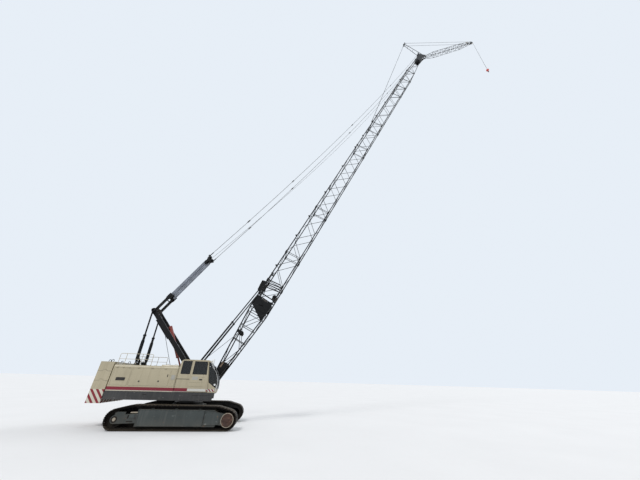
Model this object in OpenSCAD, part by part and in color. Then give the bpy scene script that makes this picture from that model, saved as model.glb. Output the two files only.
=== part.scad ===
// Crawler crane with a lattice boom and a fly jib, as a 1:2 scale model.
// Millimetres. +X is the way the boom points, +Y is the left side, +Z is up, the tracks stand on z = 0.
// Every place below is measured from the slewing axis; slew_x then centres the whole crane on x = 0.

/* [Tracks] */
// Length of each track over its shoes
track_l = 3870; // [3700:10:3950]
// Front end of the tracks ahead of the slewing axis
track_front = 1890; // [1850:5:1920]
// Height of each track over its shoes
track_h = 670; // [640:5:680]
// Radius over the shoes at the front drive wheel
front_r = 290; // [280:1:300]
// Radius over the shoes at the rear idler wheel
rear_r = 285; // [270:1:295]
// Distance between the centre lines of the two tracks
gauge = 2200; // [2160:10:2400]
// Width of the shoes
shoe_w = 450; // [430:5:480]
// Thickness from the face of a shoe to the inside of the chain
chain_t = 75; // [65:1:80]
// Number of shoes on each track
shoe_n = 76; // [60:2:84]
// Gap between neighbouring shoes
shoe_gap = 22; // [14:1:30]
// Depth of that gap
shoe_t = 30; // [15:1:38]
// Front end of the level top run ahead of the slewing axis
crest_front = 1270; // [1150:10:1300]
// Rear end of that run behind the slewing axis
crest_rear = 1320; // [1150:10:1350]

/* [Track frames] */
// Width of a track frame across its two side plates
frame_w = 380; // [340:5:400]
// Thickness of the plates of a track frame
plate_t = 40; // [25:1:50]
// Rear end of the box of a track frame
box_rear = 1090; // [1000:10:1120]
// Front end of the box of a track frame
box_front = 1240; // [1150:10:1260]
// Thickness of the flat cover on the outer side of a track frame
cover_t = 12; // [8:1:18]
// Radius of a track roller
roller_r = 52; // [40:1:56]
// Number of track rollers on each side
roller_n = 10; // [6:1:11]
// Radius of a roller's axle
roller_axle_r = 22; // [14:1:28]
// Radius of the round cap over the final drive
cap_r = 195; // [160:1:205]

/* [Car body] */
// Length of the box in the middle of the undercarriage
body_l = 1040; // [900:10:1200]
// Width of that box
body_w = 1120; // [1000:10:1300]
// Underside of that box
body_z = 230; // [180:5:280]
// Top of that box
body_top = 600; // [560:5:620]
// Outer radius of the slewing ring
ring_r = 480; // [420:5:500]
// Bore of a towing lug
tow_bore = 50; // [30:1:60]
// Thickness of a towing lug
tow_t = 60; // [40:1:80]

/* [Upper works] */
// Underside of the revolving frame
deck_low = 760; // [740:5:790]
// Top of the revolving frame
deck_z = 1005; // [990:5:1030]
// Width of the revolving frame and the house
upper_w = 1600; // [1560:10:1700]
// Rear face of the revolving frame
deck_rear = 2480; // [2400:10:2560]
// Front corner of the revolving frame at its underside
nose_low = 880; // [840:10:910]
// Front corner of the revolving frame at its top
nose_top = 955; // [920:5:990]
// Height of the house over the revolving frame
house_h = 775; // [740:5:800]
// Thickness of the walls of the house
house_t = 15; // [8:1:25]
// Front end of the house on the right, behind the cab
house_front = 400; // [390:5:460]
// Half width of the open bay for the hoists
bay_w = 390; // [380:1:420]
// Rear end of that bay
bay_rear = 1150; // [1100:10:1250]

/* [Counterweight] */
// Distance from the slewing axis to the rear of the counterweight
tail_r = 3050; // [2950:10:3200]
// Width of the counterweight
weight_w = 1500; // [1400:10:1600]
// Underside of the counterweight
weight_z = 650; // [600:5:680]
// Height of its lower slab
base_slab_h = 640; // [600:5:680]
// Height of each of the two slabs on it
slab_h = 285; // [260:5:300]
// Width of the locating keys between slabs
key_w = 130; // [80:5:180]
// Height of the locating keys
key_h = 40; // [20:1:60]

/* [Cab] */
// Inner face of the cab beside the boom, from the centre line
cab_inner = 376; // [372:1:400]
// Rear wall of the cab behind the slewing axis
cab_rear = 375; // [350:5:385]
// Height of the cab
cab_h = 1010; // [980:5:1040]
// Thickness of the cab's walls
cab_t = 22; // [16:1:30]
// Thickness of the glass
glass_t = 6; // [4:1:10]
// Rear edge of the sliding door
door_x = 45; // [30:5:60]
// Width of the sliding door at its foot
door_w = 655; // [630:5:670]
// Thickness of the sliding door
door_t = 24; // [16:1:30]
// Travel of the sliding door
door_travel = 340; // [250:10:350]

/* [Gantry] */
// Foot pin of the front legs ahead of the slewing axis
leg_foot_x = 300; // [280:5:330]
// Height of that pin
leg_foot_z = 1200; // [1180:5:1240]
// Head shaft of the gantry behind the slewing axis
head_x = 2050; // [1980:10:2120]
// Height of the head shaft
head_z = 3760; // [3650:10:3850]
// Distance of each front leg from the centre line
leg_y = 300; // [290:1:310]
// Depth of a front leg
leg_d = 160; // [120:5:170]
// Width of a front leg
leg_w = 60; // [40:1:66]
// Rear leg pin behind the slewing axis
strut_x = 2015; // [1960:5:2050]
// Height of the rear leg pin over the roof
strut_up = 60; // [55:1:90]
// Distance of each rear leg from the centre line
strut_y = 400; // [395:1:430]
// Radius of the sliding upper part of a rear leg
strut_r = 28; // [20:1:34]

/* [Boom] */
// Foot pin of the boom ahead of the slewing axis
foot_x = 550; // [520:5:600]
// Height of the boom's foot pin
foot_z = 950; // [920:5:980]
// Angle of the boom over the horizontal
boom_a = 64.8; // [60:0.1:68]
// Half width and half depth of the boom's box
boom_h = 375; // [330:5:400]
// Distance of the foot hubs from the centre line
foot_y = 290; // [280:1:292]
// Length of the base section
base_l = 4750; // [4600:10:4900]
// Length of the tip section up to its sheave axle
top_l = 4600; // [4400:10:4800]
// Radius of a chord of the boom
chord_r = 25; // [18:1:28]
// Radius of a lacing bar of the boom
lace_r = 12; // [8:1:15]
// Length of one bay of lacing
bay_l = 760; // [600:10:900]
// Radius of the foot pins
pin_r = 25; // [18:1:30]

/* [Jib] */
// Angle of the jib below the line of the boom
jib_a = 24.4; // [20:0.1:30]
// Length of the jib
jib_l = 9450; // [9000:10:9900]
// Half width and half depth of the jib's box
jib_h = 190; // [150:5:220]
// Radius of a chord of the jib
jib_chord_r = 14; // [10:1:18]
// Radius of the sheave at the tip of the jib
tip_sheave_r = 150; // [120:5:180]

/* [Rigging] */
// Radius of the pendants and stays
stay_r = 10; // [8:0.5:14]
// Distance of each boom pendant from the centre line
pendant_y = 325; // [322:1:340]
// Distance from the gantry head to the end of the lower spreader
bail_l = 750; // [720:10:820]
// Distance from the gantry head to the upper spreader
spreader_l = 2935; // [2850:5:3000]
// Fall of the hoist line from the jib tip to the ball
fall = 5800; // [5000:50:6500]
// Radius of the ball over the hook
ball_r = 130; // [110:5:160]

/* [Backstops] */
// Foot pin of the backstops behind the slewing axis
stop_x = 320; // [300:5:335]
// Height of that pin
stop_z = 1250; // [1230:5:1270]
// Distance of each backstop from the centre line
stop_y = 215; // [213:1:217]
// Where the backstops meet the boom, along the boom
stop_s = 4180; // [4140:10:4220]
// Radius of a backstop's rod
stop_r = 24; // [18:1:25]

/* [Fits] */
// Running gap of pins and bearing faces
run_gap = 0.4; // [0.2:0.1:1]
// Free gap beside a moving piece
side_gap = 6; // [5:0.5:8]

/* [Hidden] */
$fn = 48;

// Lengths of the six boom inserts, from the foot up
insert_l = [1650, 3200, 6100, 3050, 6100, 3050];
insert_sum = insert_l[0] + insert_l[1] + insert_l[2] + insert_l[3] + insert_l[4] + insert_l[5];
boom_l = base_l + insert_sum + top_l;
// The jib's back stays end at the foot of the fifth insert
backstay_s = base_l + insert_l[0] + insert_l[1] + insert_l[2] + insert_l[3];

// A point of the boom's side plane: s along the boom from its foot, h towards its back
function on_boom(s, h) = [foot_x + s*cos(boom_a) - h*sin(boom_a), foot_z + s*sin(boom_a) + h*cos(boom_a)];
function arc(o, r, a0, a1, n) = [for (i = [0:n]) o + r*[cos(a0 + (a1 - a0)*i/n), sin(a0 + (a1 - a0)*i/n)]];
function angle_of(v) = atan2(v[1], v[0]);

// Jib foot and strut top in the boom's side plane, from the axle of the head sheaves
jib_foot = [170, -290];
strut_top = [1095, 2200];
jib_tip = [boom_l + jib_foot[0] + jib_l*cos(jib_a), jib_foot[1] - jib_l*sin(jib_a)];
jib_tip_at = on_boom(jib_tip[0], jib_tip[1]);
groove = 12;
// How far the pendants hang below their straight line
pendant_sag = 400;
// Places of the pendant links, as shares of a pendant's length
pendant_links = [0.09, 0.22, 0.47, 0.72];
// Half width of the pendants' eyes
eye_half = 24;
line_x = jib_tip_at[0] + tip_sheave_r - groove + stay_r + run_gap;
slew_x = (tail_r - line_x - ball_r)/2;

gantry_head = [-head_x, head_z];
leg_foot = [leg_foot_x, leg_foot_z];
leg_l = norm(gantry_head - leg_foot);
leg_a = angle_of(gantry_head - leg_foot);
roof_z = deck_z + house_h;
strut_foot = [-strut_x, roof_z + strut_up];
strut_l = norm(gantry_head - strut_foot);
strut_a = angle_of(gantry_head - strut_foot);
pendant_lug = [boom_l - 260, 330];
pendant_at = on_boom(pendant_lug[0], pendant_lug[1]);
line_a = angle_of(pendant_at - gantry_head);
spreader_at = gantry_head + spreader_l*[cos(line_a), sin(line_a)];
stop_foot = [-stop_x, stop_z];
stop_eye_r = 42;
// How far the rods' eyes sink towards the boom at its limits, with the linkage opened there
stop_sink = 56;
stop_lug = [stop_s, boom_h + 10 + stop_eye_r + stop_sink + side_gap];
stop_at = on_boom(stop_lug[0], stop_lug[1]);
stop_l = norm(stop_at - stop_foot);
stop_a = angle_of(stop_at - stop_foot);

// One module places a piece at the slewing axis, one mirrors it to the left side
module at_slew() translate([slew_x, 0, 0]) children();
module both_sides() {
    children();
    mirror([0, 1, 0]) children();
}
// A flat outline in the x-z plane, from y0 to y1
module slab(y0, y1) translate([0, y1, 0]) rotate([90, 0, 0]) linear_extrude(y1 - y0) children();
// A round bar along Y at [x, z]
module axle(at, r, y0, y1) translate([at[0], y0, at[1]]) rotate([-90, 0, 0]) cylinder(h = y1 - y0, r = r);
// A many-sided bar from p to q
module bar(p, q, r, n = 6) {
    d = q - p;
    translate(p) rotate([0, acos(d[2]/norm(d)), atan2(d[1], d[0])])
        rotate([0, 0, 180/n]) cylinder(h = norm(d), r = r, $fn = n);
}
module block(x0, x1, y0, y1, z0, z1) translate([x0, y0, z0]) cube([x1 - x0, y1 - y0, z1 - z0]);
// The place of a linkage: at [x, z], with its own +X turned to angle a
module along(at, a) translate([at[0], 0, at[1]]) rotate([0, -a, 0]) children();
module on_boom_axis() at_slew() along([foot_x, foot_z], boom_a) children();

// Undercarriage

front_c = [track_front - front_r, front_r];
rear_c = [track_front - track_l + rear_r, rear_r];
// The closed line of a track, e inside the faces of its shoes
function track_line(e) = let(
    f = [crest_front, track_h - e], b = [-crest_rear, track_h - e],
    af = angle_of(f - front_c) - acos((front_r - e)/norm(f - front_c)),
    ab = angle_of(b - rear_c) + acos((rear_r - e)/norm(b - rear_c)))
    concat(arc(front_c, front_r - e, -90, af, 14), [f, b], arc(rear_c, rear_r - e, ab, 270, 14));
face_line = track_line(0);
// A wheel's radius inside the flats of that line
function wheel_r(r) = (r - chain_t)*cos(8) - run_gap;
face_n = len(face_line);
function step_of(i) = face_line[(i + 1) % face_n] - face_line[i % face_n];
function sum(v, i = 0) = i == len(v) ? 0 : v[i] + sum(v, i + 1);
face_l = sum([for (i = [0:face_n - 1]) norm(step_of(i))]);
// The point at distance s along the faces of the shoes, e inside them
function on_track(s, e, i = 0) = let(d = step_of(i), n = norm(d)) s <= n
    ? face_line[i % face_n] + d*s/n + e*[-d[1], d[0]]/n
    : on_track(s - n, e, i + 1);
pitch = face_l/shoe_n;
shoe_line = [for (i = [0:shoe_n - 1]) for (k = [
    [shoe_gap/2, 0], [pitch - shoe_gap/2, 0], [pitch - shoe_gap/2 + 3, shoe_t],
        [pitch + shoe_gap/2 - 3, shoe_t]])
    on_track(i*pitch + k[0], k[1])];

module track() color("#3a332d")
    at_slew() slab(-gauge/2 - shoe_w/2, -gauge/2 + shoe_w/2) difference() {
        polygon(shoe_line);
        polygon(track_line(chain_t));
    }
module track_right() track();
module track_left() mirror([0, 1, 0]) track();

frame_in = gauge/2 - frame_w/2;
frame_out = gauge/2 + frame_w/2;
frame_low = chain_t + 35;
frame_top = track_h - chain_t - 45;
channel_w = 260;
channel_top = chain_t + run_gap + 2*roller_r + 20;
roller_z = chain_t + run_gap + roller_r;
function roller_x(i) = -box_rear + 90 + i*(box_rear + box_front - 180)/(roller_n - 1);
carrier_r = 40;
carrier_axle_r = 11;
carrier_t = 20;
carrier_z = track_h - chain_t - run_gap - carrier_r;
carriers = [-700, 0, 700];

// Fork that carries a wheel: two plates with round ends
module fork(x0, c, r, low, high) for (y = [frame_in, frame_out - plate_t])
    slab(-y - plate_t, -y) {
        polygon([[x0, low], [c[0], c[1] - r], [c[0], c[1] + r], [x0, high]]);
        translate(c) circle(r = r);
    }
module side_frames() color("#4b5456") at_slew() both_sides() {
    difference() {
        slab(-frame_out, -frame_in) polygon([[-box_rear, frame_low], [box_front, frame_low],
            [box_front + 60, frame_low + 120], [box_front + 60, frame_top - 90],
                [box_front - 80, frame_top],
            [-box_rear, frame_top]]);
        block(-box_rear - 1, box_front + 61, -gauge/2 - channel_w/2, -gauge/2 + channel_w/2, 0,
            channel_top);
        for (x = carriers) {
            block(x - 60, x + 60, -gauge/2 - channel_w/2, -gauge/2 + channel_w/2,
                carrier_z - carrier_r - 10, track_h);
            axle([x, carrier_z], carrier_axle_r, -gauge/2 - channel_w/2 - carrier_t,
                -gauge/2 + channel_w/2 + carrier_t);
        }
    }
    for (x = carriers, y = [gauge/2 - channel_w/2 - carrier_t, gauge/2 + channel_w/2])
        slab(-y - carrier_t, -y) difference() {
            polygon([[x - 60, frame_top - 1], [x + 60, frame_top - 1], [x + 30, carrier_z + 25],
                [x - 30, carrier_z + 25]]);
            translate([x, carrier_z]) circle(r = carrier_axle_r);
        }
    difference() {
        fork(box_front, front_c, 150, frame_low + 60, frame_top - 60);
        axle(front_c, 60, -frame_out - 1, -frame_in + 1);
    }
    difference() {
        union() {
            fork(-box_rear, rear_c, 110, frame_low + 90, frame_low + 330);
            // Guard over the idler
            slab(-frame_out, -frame_out + 14) polygon([[-box_rear - 330, frame_low + 200],
                [rear_c[0] - 20, frame_low + 200], [rear_c[0] - 20, frame_low + 340],
                [rear_c[0] + 30, frame_low + 370], [-box_rear - 330, frame_low + 370]]);
        }
        axle(rear_c, 50, -frame_out - 1, -frame_in + 1);
    }
    // Tensioner cylinder behind the box
    translate([-box_rear - 260, -gauge/2, rear_c[1]]) rotate([0, 90, 0]) cylinder(h = 300, r = 62);
}

wheel_w = 190;
module drive_wheels() at_slew() both_sides() {
    teeth = 13;
    r = wheel_r(front_r);
    color("#3a332d") {
        for (y = [gauge/2 - wheel_w/2, gauge/2 + wheel_w/2 - 50])
            slab(-y - 50, -y) translate(front_c) polygon([for (i = [0:teeth - 1])
                for (k = [[-7, 0], [7, 0], [10, 26], [17, 26]])
                (r - k[1])*[cos(i*360/teeth + k[0]), sin(i*360/teeth + k[0])]]);
        axle(front_c, r - 60, -gauge/2 - wheel_w/2 + 50, -gauge/2 + wheel_w/2 - 50);
        axle(front_c, 110, -frame_out + plate_t, -gauge/2 - wheel_w/2);
        axle(front_c, 110, -gauge/2 + wheel_w/2, -frame_in - plate_t);
        axle(front_c, 60, -frame_out, -frame_in);
    }
    color("#5d3a28") axle(front_c, cap_r - 18, -frame_out - 14, -frame_out);
    color("#9a9184") difference() {
        axle(front_c, cap_r, -frame_out - 22, -frame_out);
        axle(front_c, cap_r - 18, -frame_out - 23, -frame_out + 1);
    }
}
module idler_wheels() color("#4a443c") at_slew() both_sides() {
    r = wheel_r(rear_r);
    difference() {
        union() {
            axle(rear_c, r, -gauge/2 - wheel_w/2, -gauge/2 + wheel_w/2);
            axle(rear_c, 80, -frame_out + plate_t, -frame_in - plate_t);
            axle(rear_c, 50, -frame_out, -frame_in);
        }
        for (y = [-gauge/2 - wheel_w/2 - 1, -gauge/2 + wheel_w/2 - 54]) difference() {
            axle(rear_c, r - 45, y, y + 55);
            axle(rear_c, 95, y - 1, y + 56);
        }
        for (i = [0:5]) axle(rear_c + 140*[cos(60*i), sin(60*i)], 26, -gauge/2 - wheel_w,
            -gauge/2 + wheel_w);
    }
}
module track_rollers() color("#3f3a34") at_slew() both_sides() {
    for (i = [0:roller_n - 1]) {
        axle([roller_x(i), roller_z], roller_r, -gauge/2 - 100, -gauge/2 - 40);
        axle([roller_x(i), roller_z], roller_r, -gauge/2 + 40, -gauge/2 + 100);
        axle([roller_x(i), roller_z], roller_r - 14, -gauge/2 - 40, -gauge/2 + 40);
        axle([roller_x(i), roller_z], roller_axle_r, -gauge/2 - channel_w/2, -gauge/2 + channel_w/2);
    }
    for (x = carriers) {
        axle([x, carrier_z], carrier_r, -gauge/2 - channel_w/2 + 6, -gauge/2 + channel_w/2 - 6);
        axle([x, carrier_z], carrier_axle_r, -gauge/2 - channel_w/2 - carrier_t,
            -gauge/2 + channel_w/2 + carrier_t);
    }
}
module side_covers() color("#56666a") at_slew() both_sides() {
    slab(-frame_out - cover_t, -frame_out) polygon([[-box_rear + 55, frame_low + 15], [860, frame_low + 15],
        [875, frame_top - 2], [-box_rear, frame_top - 2]]);
    slab(-frame_out - cover_t/2, -frame_out) polygon([[885, frame_low + 45],
        [box_front + 110, frame_low + 60],
        [box_front + 110, frame_top - 66], [895, frame_top - 17]]);
}

arm_w = 220;
tow_at = [body_l/2 + 90, body_z + 100];
tow_r = tow_bore/2 + 35;
module carbody() color("#44494b") at_slew() difference() {
    union() {
        block(-body_l/2, body_l/2, -body_w/2, body_w/2, body_z, body_top);
        for (x = [-body_l/2, body_l/2 - arm_w]) block(x, x + arm_w, -frame_in, frame_in, body_z + 20,
            body_top - 80);
        translate([0, 0, body_top]) cylinder(h = 40, r = ring_r + 20);
        for (m = [0, 1]) mirror([m, 0, 0]) {
            translate([0, 0, tow_at[1] - tow_t/2]) linear_extrude(tow_t) {
                translate([tow_at[0], 0]) circle(r = tow_r);
                polygon([[body_l/2 - 5, -tow_r - 40], [tow_at[0], -tow_r], [tow_at[0], tow_r],
                    [body_l/2 - 5, tow_r + 40]]);
            }
        }
    }
    translate([0, 0, body_z - 1]) cylinder(h = body_top, r = ring_r - 160);
    for (m = [-1, 1]) translate([m*tow_at[0], 0, tow_at[1] - tow_t]) cylinder(h = 2*tow_t, r = tow_bore/2);
    // Hand holes in the sides of the box
    for (x = [-body_l/4, body_l/4]) translate([x, -body_w, body_z + 190]) rotate([-90, 0, 0])
        cylinder(h = 2*body_w, r = 70);
}
race_h = 48;
race_low = body_top + 40;
module slew_ring() color("#2f3234") at_slew() difference() {
    translate([0, 0, race_low]) cylinder(h = race_h, r = ring_r);
    translate([0, 0, race_low - 1]) cylinder(h = race_h + 2, r = ring_r - 100);
}

// Upper works

sill_w = 100;
// The deck ends this much sooner on the left, where no cab stands
left_cut = 300;
slot_x = 390;
lug_t = 30;
hub_w = 80;
foot = [foot_x, foot_z];
// Inner face of a backstop's foot lug, from the middle of its tube
stop_wall = 10;
stop_lug_y = stop_r + stop_wall + side_gap;
post_w = 46;
module revolving_frame() color("#4a4d4f") at_slew() {
    difference() {
        union() {
            // Side sills, centre box, cross beams and deck plate
            for (s = [[-upper_w/2, 0], [upper_w/2 - sill_w, left_cut]]) slab(s[0], s[0] + sill_w)
                polygon([[-deck_rear, deck_low], [nose_low - s[1], deck_low],
                    [nose_top - s[1], deck_z - 50], [nose_top - s[1], deck_z], [-deck_rear, deck_z]]);
            block(-deck_rear, slot_x, -340, 340, deck_low, deck_z);
            for (x = [-deck_rear, -1300, slot_x - 60]) block(x, x + 60, -upper_w/2 + 1, upper_w/2 - 1,
                deck_low + 40, deck_z);
            block(-deck_rear, slot_x, -upper_w/2 + 1, upper_w/2 - 1, deck_z - 20, deck_z);
            for (m = [0, 1]) mirror([0, m, 0]) {
                front = nose_top - (1 - m)*left_cut;
                block(slot_x - 1, front, 380, upper_w/2 - 1, deck_z - 20, deck_z);
                block(slot_x - 1, front - 60, 366, 386, deck_low + 60, deck_z);
            }
            // Tongues that carry the counterweight
            for (y = [-330, 250]) block(-deck_rear - 220, -deck_rear + 1, y, y + 80, deck_z - 150,
                deck_z - 20);
            // Upper race of the slewing ring
            translate([0, 0, race_low + race_h + run_gap])
                cylinder(h = deck_low - race_low - race_h - run_gap + 1, r = ring_r - 25);
        }
        translate([0, 0, race_low]) cylinder(h = deck_z - race_low - 60, r = ring_r - 120);
    }
    both_sides() {
        // Boom foot: two lugs and a pin on each side
        for (y = [-foot_y - hub_w/2 - run_gap - lug_t, -foot_y + hub_w/2 + run_gap])
            slab(y, y + lug_t) {
                translate(foot) circle(r = 70);
                polygon([[slot_x - 1, foot_z - 140], [foot_x, foot_z - 70], [foot_x, foot_z + 70],
                    [slot_x - 1, deck_z]]);
            }
        axle(foot, pin_r, -foot_y - hub_w/2 - run_gap - 1, -foot_y + hub_w/2 + run_gap + 1);
        // Gantry foot
        for (y = [-leg_y - leg_w/2 - run_gap - 4, -leg_y + leg_w/2 + run_gap])
            slab(y, y + 4) {
                translate(leg_foot) circle(r = 55);
                polygon([[leg_foot_x - 110, deck_z - 1], [leg_foot_x + 80, deck_z - 1],
                    [leg_foot_x + 55, leg_foot_z], [leg_foot_x - 55, leg_foot_z]]);
            }
        axle(leg_foot, pin_r, -leg_y - leg_w/2 - run_gap - 1, -leg_y + leg_w/2 + run_gap + 1);
        // Backstop foot
        slab(-stop_y - stop_lug_y - 20, -stop_y - stop_lug_y) {
            translate(stop_foot) circle(r = 45);
            polygon([[-stop_x - 90, deck_z - 1], [-stop_x + 90, deck_z - 1], [-stop_x + 45, stop_z],
                [-stop_x - 45, stop_z]]);
        }
        axle(stop_foot, 20, -stop_y - stop_lug_y - 1, -stop_y + 17);
        // Posts under the gantry's rear legs, up through the roof
        block(-strut_x - post_w, -strut_x + post_w, -strut_y - 22, -strut_y + 22, deck_z - 1, roof_z + 6);
        for (y = [-strut_y - 22 - run_gap, -strut_y + 18 + run_gap])
            slab(y, y + 4) {
                translate(strut_foot) circle(r = post_w);
                polygon([[-strut_x - post_w, roof_z - 40], [-strut_x + post_w, roof_z - 40],
                    [-strut_x + post_w, strut_foot[1]], [-strut_x - post_w, strut_foot[1]]]);
            }
        axle(strut_foot, 16, -strut_y - 23, -strut_y + 23);
    }
}

// Cross section of the house, in the y-z plane, along x from x0 to x1
module prism(x0, x1) translate([x0, 0, 0]) rotate([90, 0, 90]) linear_extrude(x1 - x0) children();
edge_r = 70;
module house_section(y0, y1, t) polygon(concat([[y0 + t, deck_z]], [[y1 - t, deck_z]],
    arc([y1 - edge_r, roof_z - edge_r], edge_r - t, 0, 90, 6),
        arc([y0 + edge_r, roof_z - edge_r], edge_r - t, 90, 180, 6)));
rear_gap = 4;
// Gap between the house and the counterweight
weight_gap = 50;
left_front = 350;
module house_body(t) {
    prism(-deck_rear + rear_gap + t, -bay_rear - t) house_section(-upper_w/2, upper_w/2, t);
    prism(-bay_rear - 2*t - 1, -house_front - t) house_section(-upper_w/2, -bay_w, t);
    prism(-bay_rear - 2*t - 1, left_front - t) house_section(bay_w, upper_w/2, t);
}
// Doors in the sides of the house: start, end, low edge and high edge
house_doors = [[-2440, -1890, 160, 690], [-1869, -625, 160, 690], [-605, -420, 160, 690]];
vent = [-2283, -2015, 308, 386];
module house() color("#d8cfb4") at_slew() difference() {
    union() {
        house_body(0);
        // Raised hatch in the roof
        prism(-1010, -450) polygon([[-730, roof_z - 1], [-420, roof_z - 1], [-450, roof_z + 30],
            [-715, roof_z + 30]]);
        // Low box across the rear of the roof
        prism(-deck_rear + rear_gap, -2285) polygon([[-700, roof_z - 1], [700, roof_z - 1],
            [690, roof_z + 40], [-690, roof_z + 40]]);
    }
    house_body(house_t);
    for (m = [0, 1]) mirror([0, m, 0]) for (d = house_doors) difference() {
        block(d[0], d[1], -upper_w/2 - 1, -upper_w/2 + 4, deck_z + d[2], deck_z + d[3]);
        block(d[0] + 8, d[1] - 8, -upper_w/2 - 2, -upper_w/2 + 5, deck_z + d[2] + 8, deck_z + d[3] - 8);
    }
    // Vent near the rear
    for (m = [0, 1]) mirror([0, m, 0])
        block(vent[0], vent[1], -upper_w/2 - 1, -upper_w/2 + 8, deck_z + vent[2], deck_z + vent[3]);
    // Holes for the gantry posts
    for (m = [0, 1]) mirror([0, m, 0]) block(-strut_x - post_w - 2, -strut_x + post_w + 2, -strut_y - 26,
        -strut_y + 26, roof_z - 60, roof_z + 60);
}
module engine() color("#5a5d58") at_slew() block(-2300, -1500, -330, 330, deck_z, deck_z + 480);

// One slab of the counterweight: its tail follows a circle about the slewing axis
module weight_slab(z0, h, keys_under, keys_over, pockets) color("#d8cfb4") at_slew() difference() {
    union() {
        difference() {
            intersection() {
                block(-tail_r - 1, -deck_rear - weight_gap, -weight_w/2, weight_w/2, z0, z0 + h);
                translate([0, 0, z0 - 1]) cylinder(h = h + 2, r = tail_r, $fn = 96);
            }
            if (keys_under) weight_keys(z0);
        }
        if (keys_over) weight_keys(z0 + h);
    }
    if (pockets) for (y = [-330, 250])
        block(-deck_rear - 220, -deck_rear + 1, y, y + 80, deck_z - 151, deck_z - 20);
}
module weight_keys(z) for (y = [-weight_w/2, weight_w/2 - 60]) slab(y, y + 60)
    translate([-deck_rear - 260, z])
    polygon([[-key_w/2, 0], [key_w/2, 0], [key_w/2 - 25, key_h], [-key_w/2 + 25, key_h]]);
middle_z = weight_z + base_slab_h;
module counterweight_lower() weight_slab(weight_z, base_slab_h, false, true, true);
module counterweight_middle() weight_slab(middle_z, slab_h, true, true, false);
module counterweight_upper() weight_slab(middle_z + slab_h, slab_h, true, false, false);

// Centre and radius of the bowed front of the cab
front_o = [182, deck_z + 220];
front_arc_r = 818;
// Side outline of the cab, e inside its outer faces. The door slides outside it, flush with the house
door_y = upper_w/2 - door_t;
cab_side = door_y - side_gap;
cab_top = deck_z + cab_h;
function cab_line(e) = concat(
    [[-cab_rear + e, deck_z + e]],
    arc(front_o, front_arc_r - e, asin((deck_z + e - front_o[1])/(front_arc_r - e)), 46, 10),
    arc([540, cab_top - 90], 90 - e, 45, 90, 4),
    arc([-cab_rear + 120, cab_top - 120], 120 - e, 90, 180, 6));
sill_z = deck_z + 30;
door_top = cab_top - 30;
// The door's front edge leans back by this much, above its knee
door_lean = 146;
knee_z = deck_z + 175;
pane_low = deck_z + 555;
pane_top = cab_top - 60;
// Start and end of the rear windows, and the top of the window in the rear wall
rear_pane = [-300, -5];
rear_top = cab_top - 130;
module quarter_pane(y0, y1) slab(y0, y1) polygon(concat([[590, cab_top - 75], [705, deck_z + 313]],
    arc(front_o, front_arc_r - 36, -5, 46, 8), [[625, cab_top - 75]]));
module front_pane(x) block(x, 1200, -cab_side + 60, -cab_inner - 50, deck_z + 120, cab_top - 130);
module inner_pane(y0, y1) block(door_x + 60, door_x + door_w - door_lean - 30, y0, y1, pane_low, pane_top);
module cab_shell() color("#d8cfb4") at_slew() {
    difference() {
        slab(-cab_side, -cab_inner) polygon(cab_line(0));
        slab(-cab_side + cab_t, -cab_inner - cab_t) polygon(cab_line(cab_t));
        slab(-cab_side - 1, -cab_side + cab_t + 1) door_outline(30);
        for (y = [-cab_side - 1, -cab_inner - cab_t - 1]) block(rear_pane[0], rear_pane[1], y,
            y + cab_t + 2, pane_low, pane_top);
        inner_pane(-cab_inner - cab_t - 1, -cab_inner + 1);
        for (y = [-cab_side - 1, -cab_inner - cab_t - 1]) quarter_pane(y, y + cab_t + 2);
        front_pane(700);
        block(-cab_rear - 1, -cab_rear + cab_t + 1, -cab_side + 80, -cab_inner - 80, pane_low, rear_top);
    }
    // Rails that the door slides on
    for (r = [[sill_z - 12 - run_gap, -cab_rear + 20, 0], [door_top + run_gap, -cab_rear + 65, door_lean]])
        block(r[1], door_x + door_w - r[2], -cab_side - side_gap - 12, -cab_side, r[0], r[0] + 12);
}
module cab_glass() color("#7f9aa5") at_slew() {
    for (y = [-cab_side + cab_t/2, -cab_inner - cab_t/2 - glass_t]) {
        block(rear_pane[0], rear_pane[1], y, y + glass_t, pane_low, pane_top);
        quarter_pane(y, y + glass_t);
    }
    inner_pane(-cab_inner - cab_t/2 - glass_t, -cab_inner - cab_t/2);
    block(-cab_rear + cab_t/2, -cab_rear + cab_t/2 + glass_t, -cab_side + 80, -cab_inner - 80, pane_low,
        rear_top);
    intersection() {
        slab(-cab_side + 60, -cab_inner - 50) difference() {
            polygon(cab_line(cab_t/2));
            polygon(cab_line(cab_t/2 + glass_t));
        }
        front_pane(700);
    }
}
seat_x = 180;
seat_w = 240;
console_x = 620;
module cab_seat() color("#2b2b2c") at_slew() {
    y = -(cab_side + cab_inner)/2;
    z = deck_z + cab_t;
    // Pedestal, cushion and back
    block(seat_x - 60, seat_x + 160, y - 90, y + 90, z, z + 190);
    block(seat_x - 110, seat_x + 170, y - seat_w/2, y + seat_w/2, z + 190, z + 260);
    slab(y - seat_w/2 + 5, y + seat_w/2 - 5) translate([seat_x, z])
        polygon([[-110, 255], [-30, 255], [-110, 620], [-170, 620]]);
    // Console with its sloping top
    block(console_x, console_x + 100, y - 130, y + 130, z, z + 330);
    slab(y - 150, y + 150) translate([console_x, z]) polygon([[-20, 330], [120, 330], [170, 420],
        [20, 400]]);
}
module door_outline(e) polygon([[door_x + e, sill_z + e], [door_x + door_w - e, sill_z + e],
    [door_x + door_w - e, knee_z], [door_x + door_w - door_lean - e, door_top - e],
    [door_x + e, door_top - e]]);
module door_pane(y0, y1) slab(y0, y1) polygon([[door_x + 63, pane_low], [door_x + door_w - 126, pane_low],
    [door_x + door_w - 170, pane_top], [door_x + 63, pane_top]]);
module cab_door() color("#d8cfb4") at_slew() difference() {
    slab(-door_y - door_t, -door_y) door_outline(0);
    door_pane(-door_y - door_t - 1, -door_y + 1);
}
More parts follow.
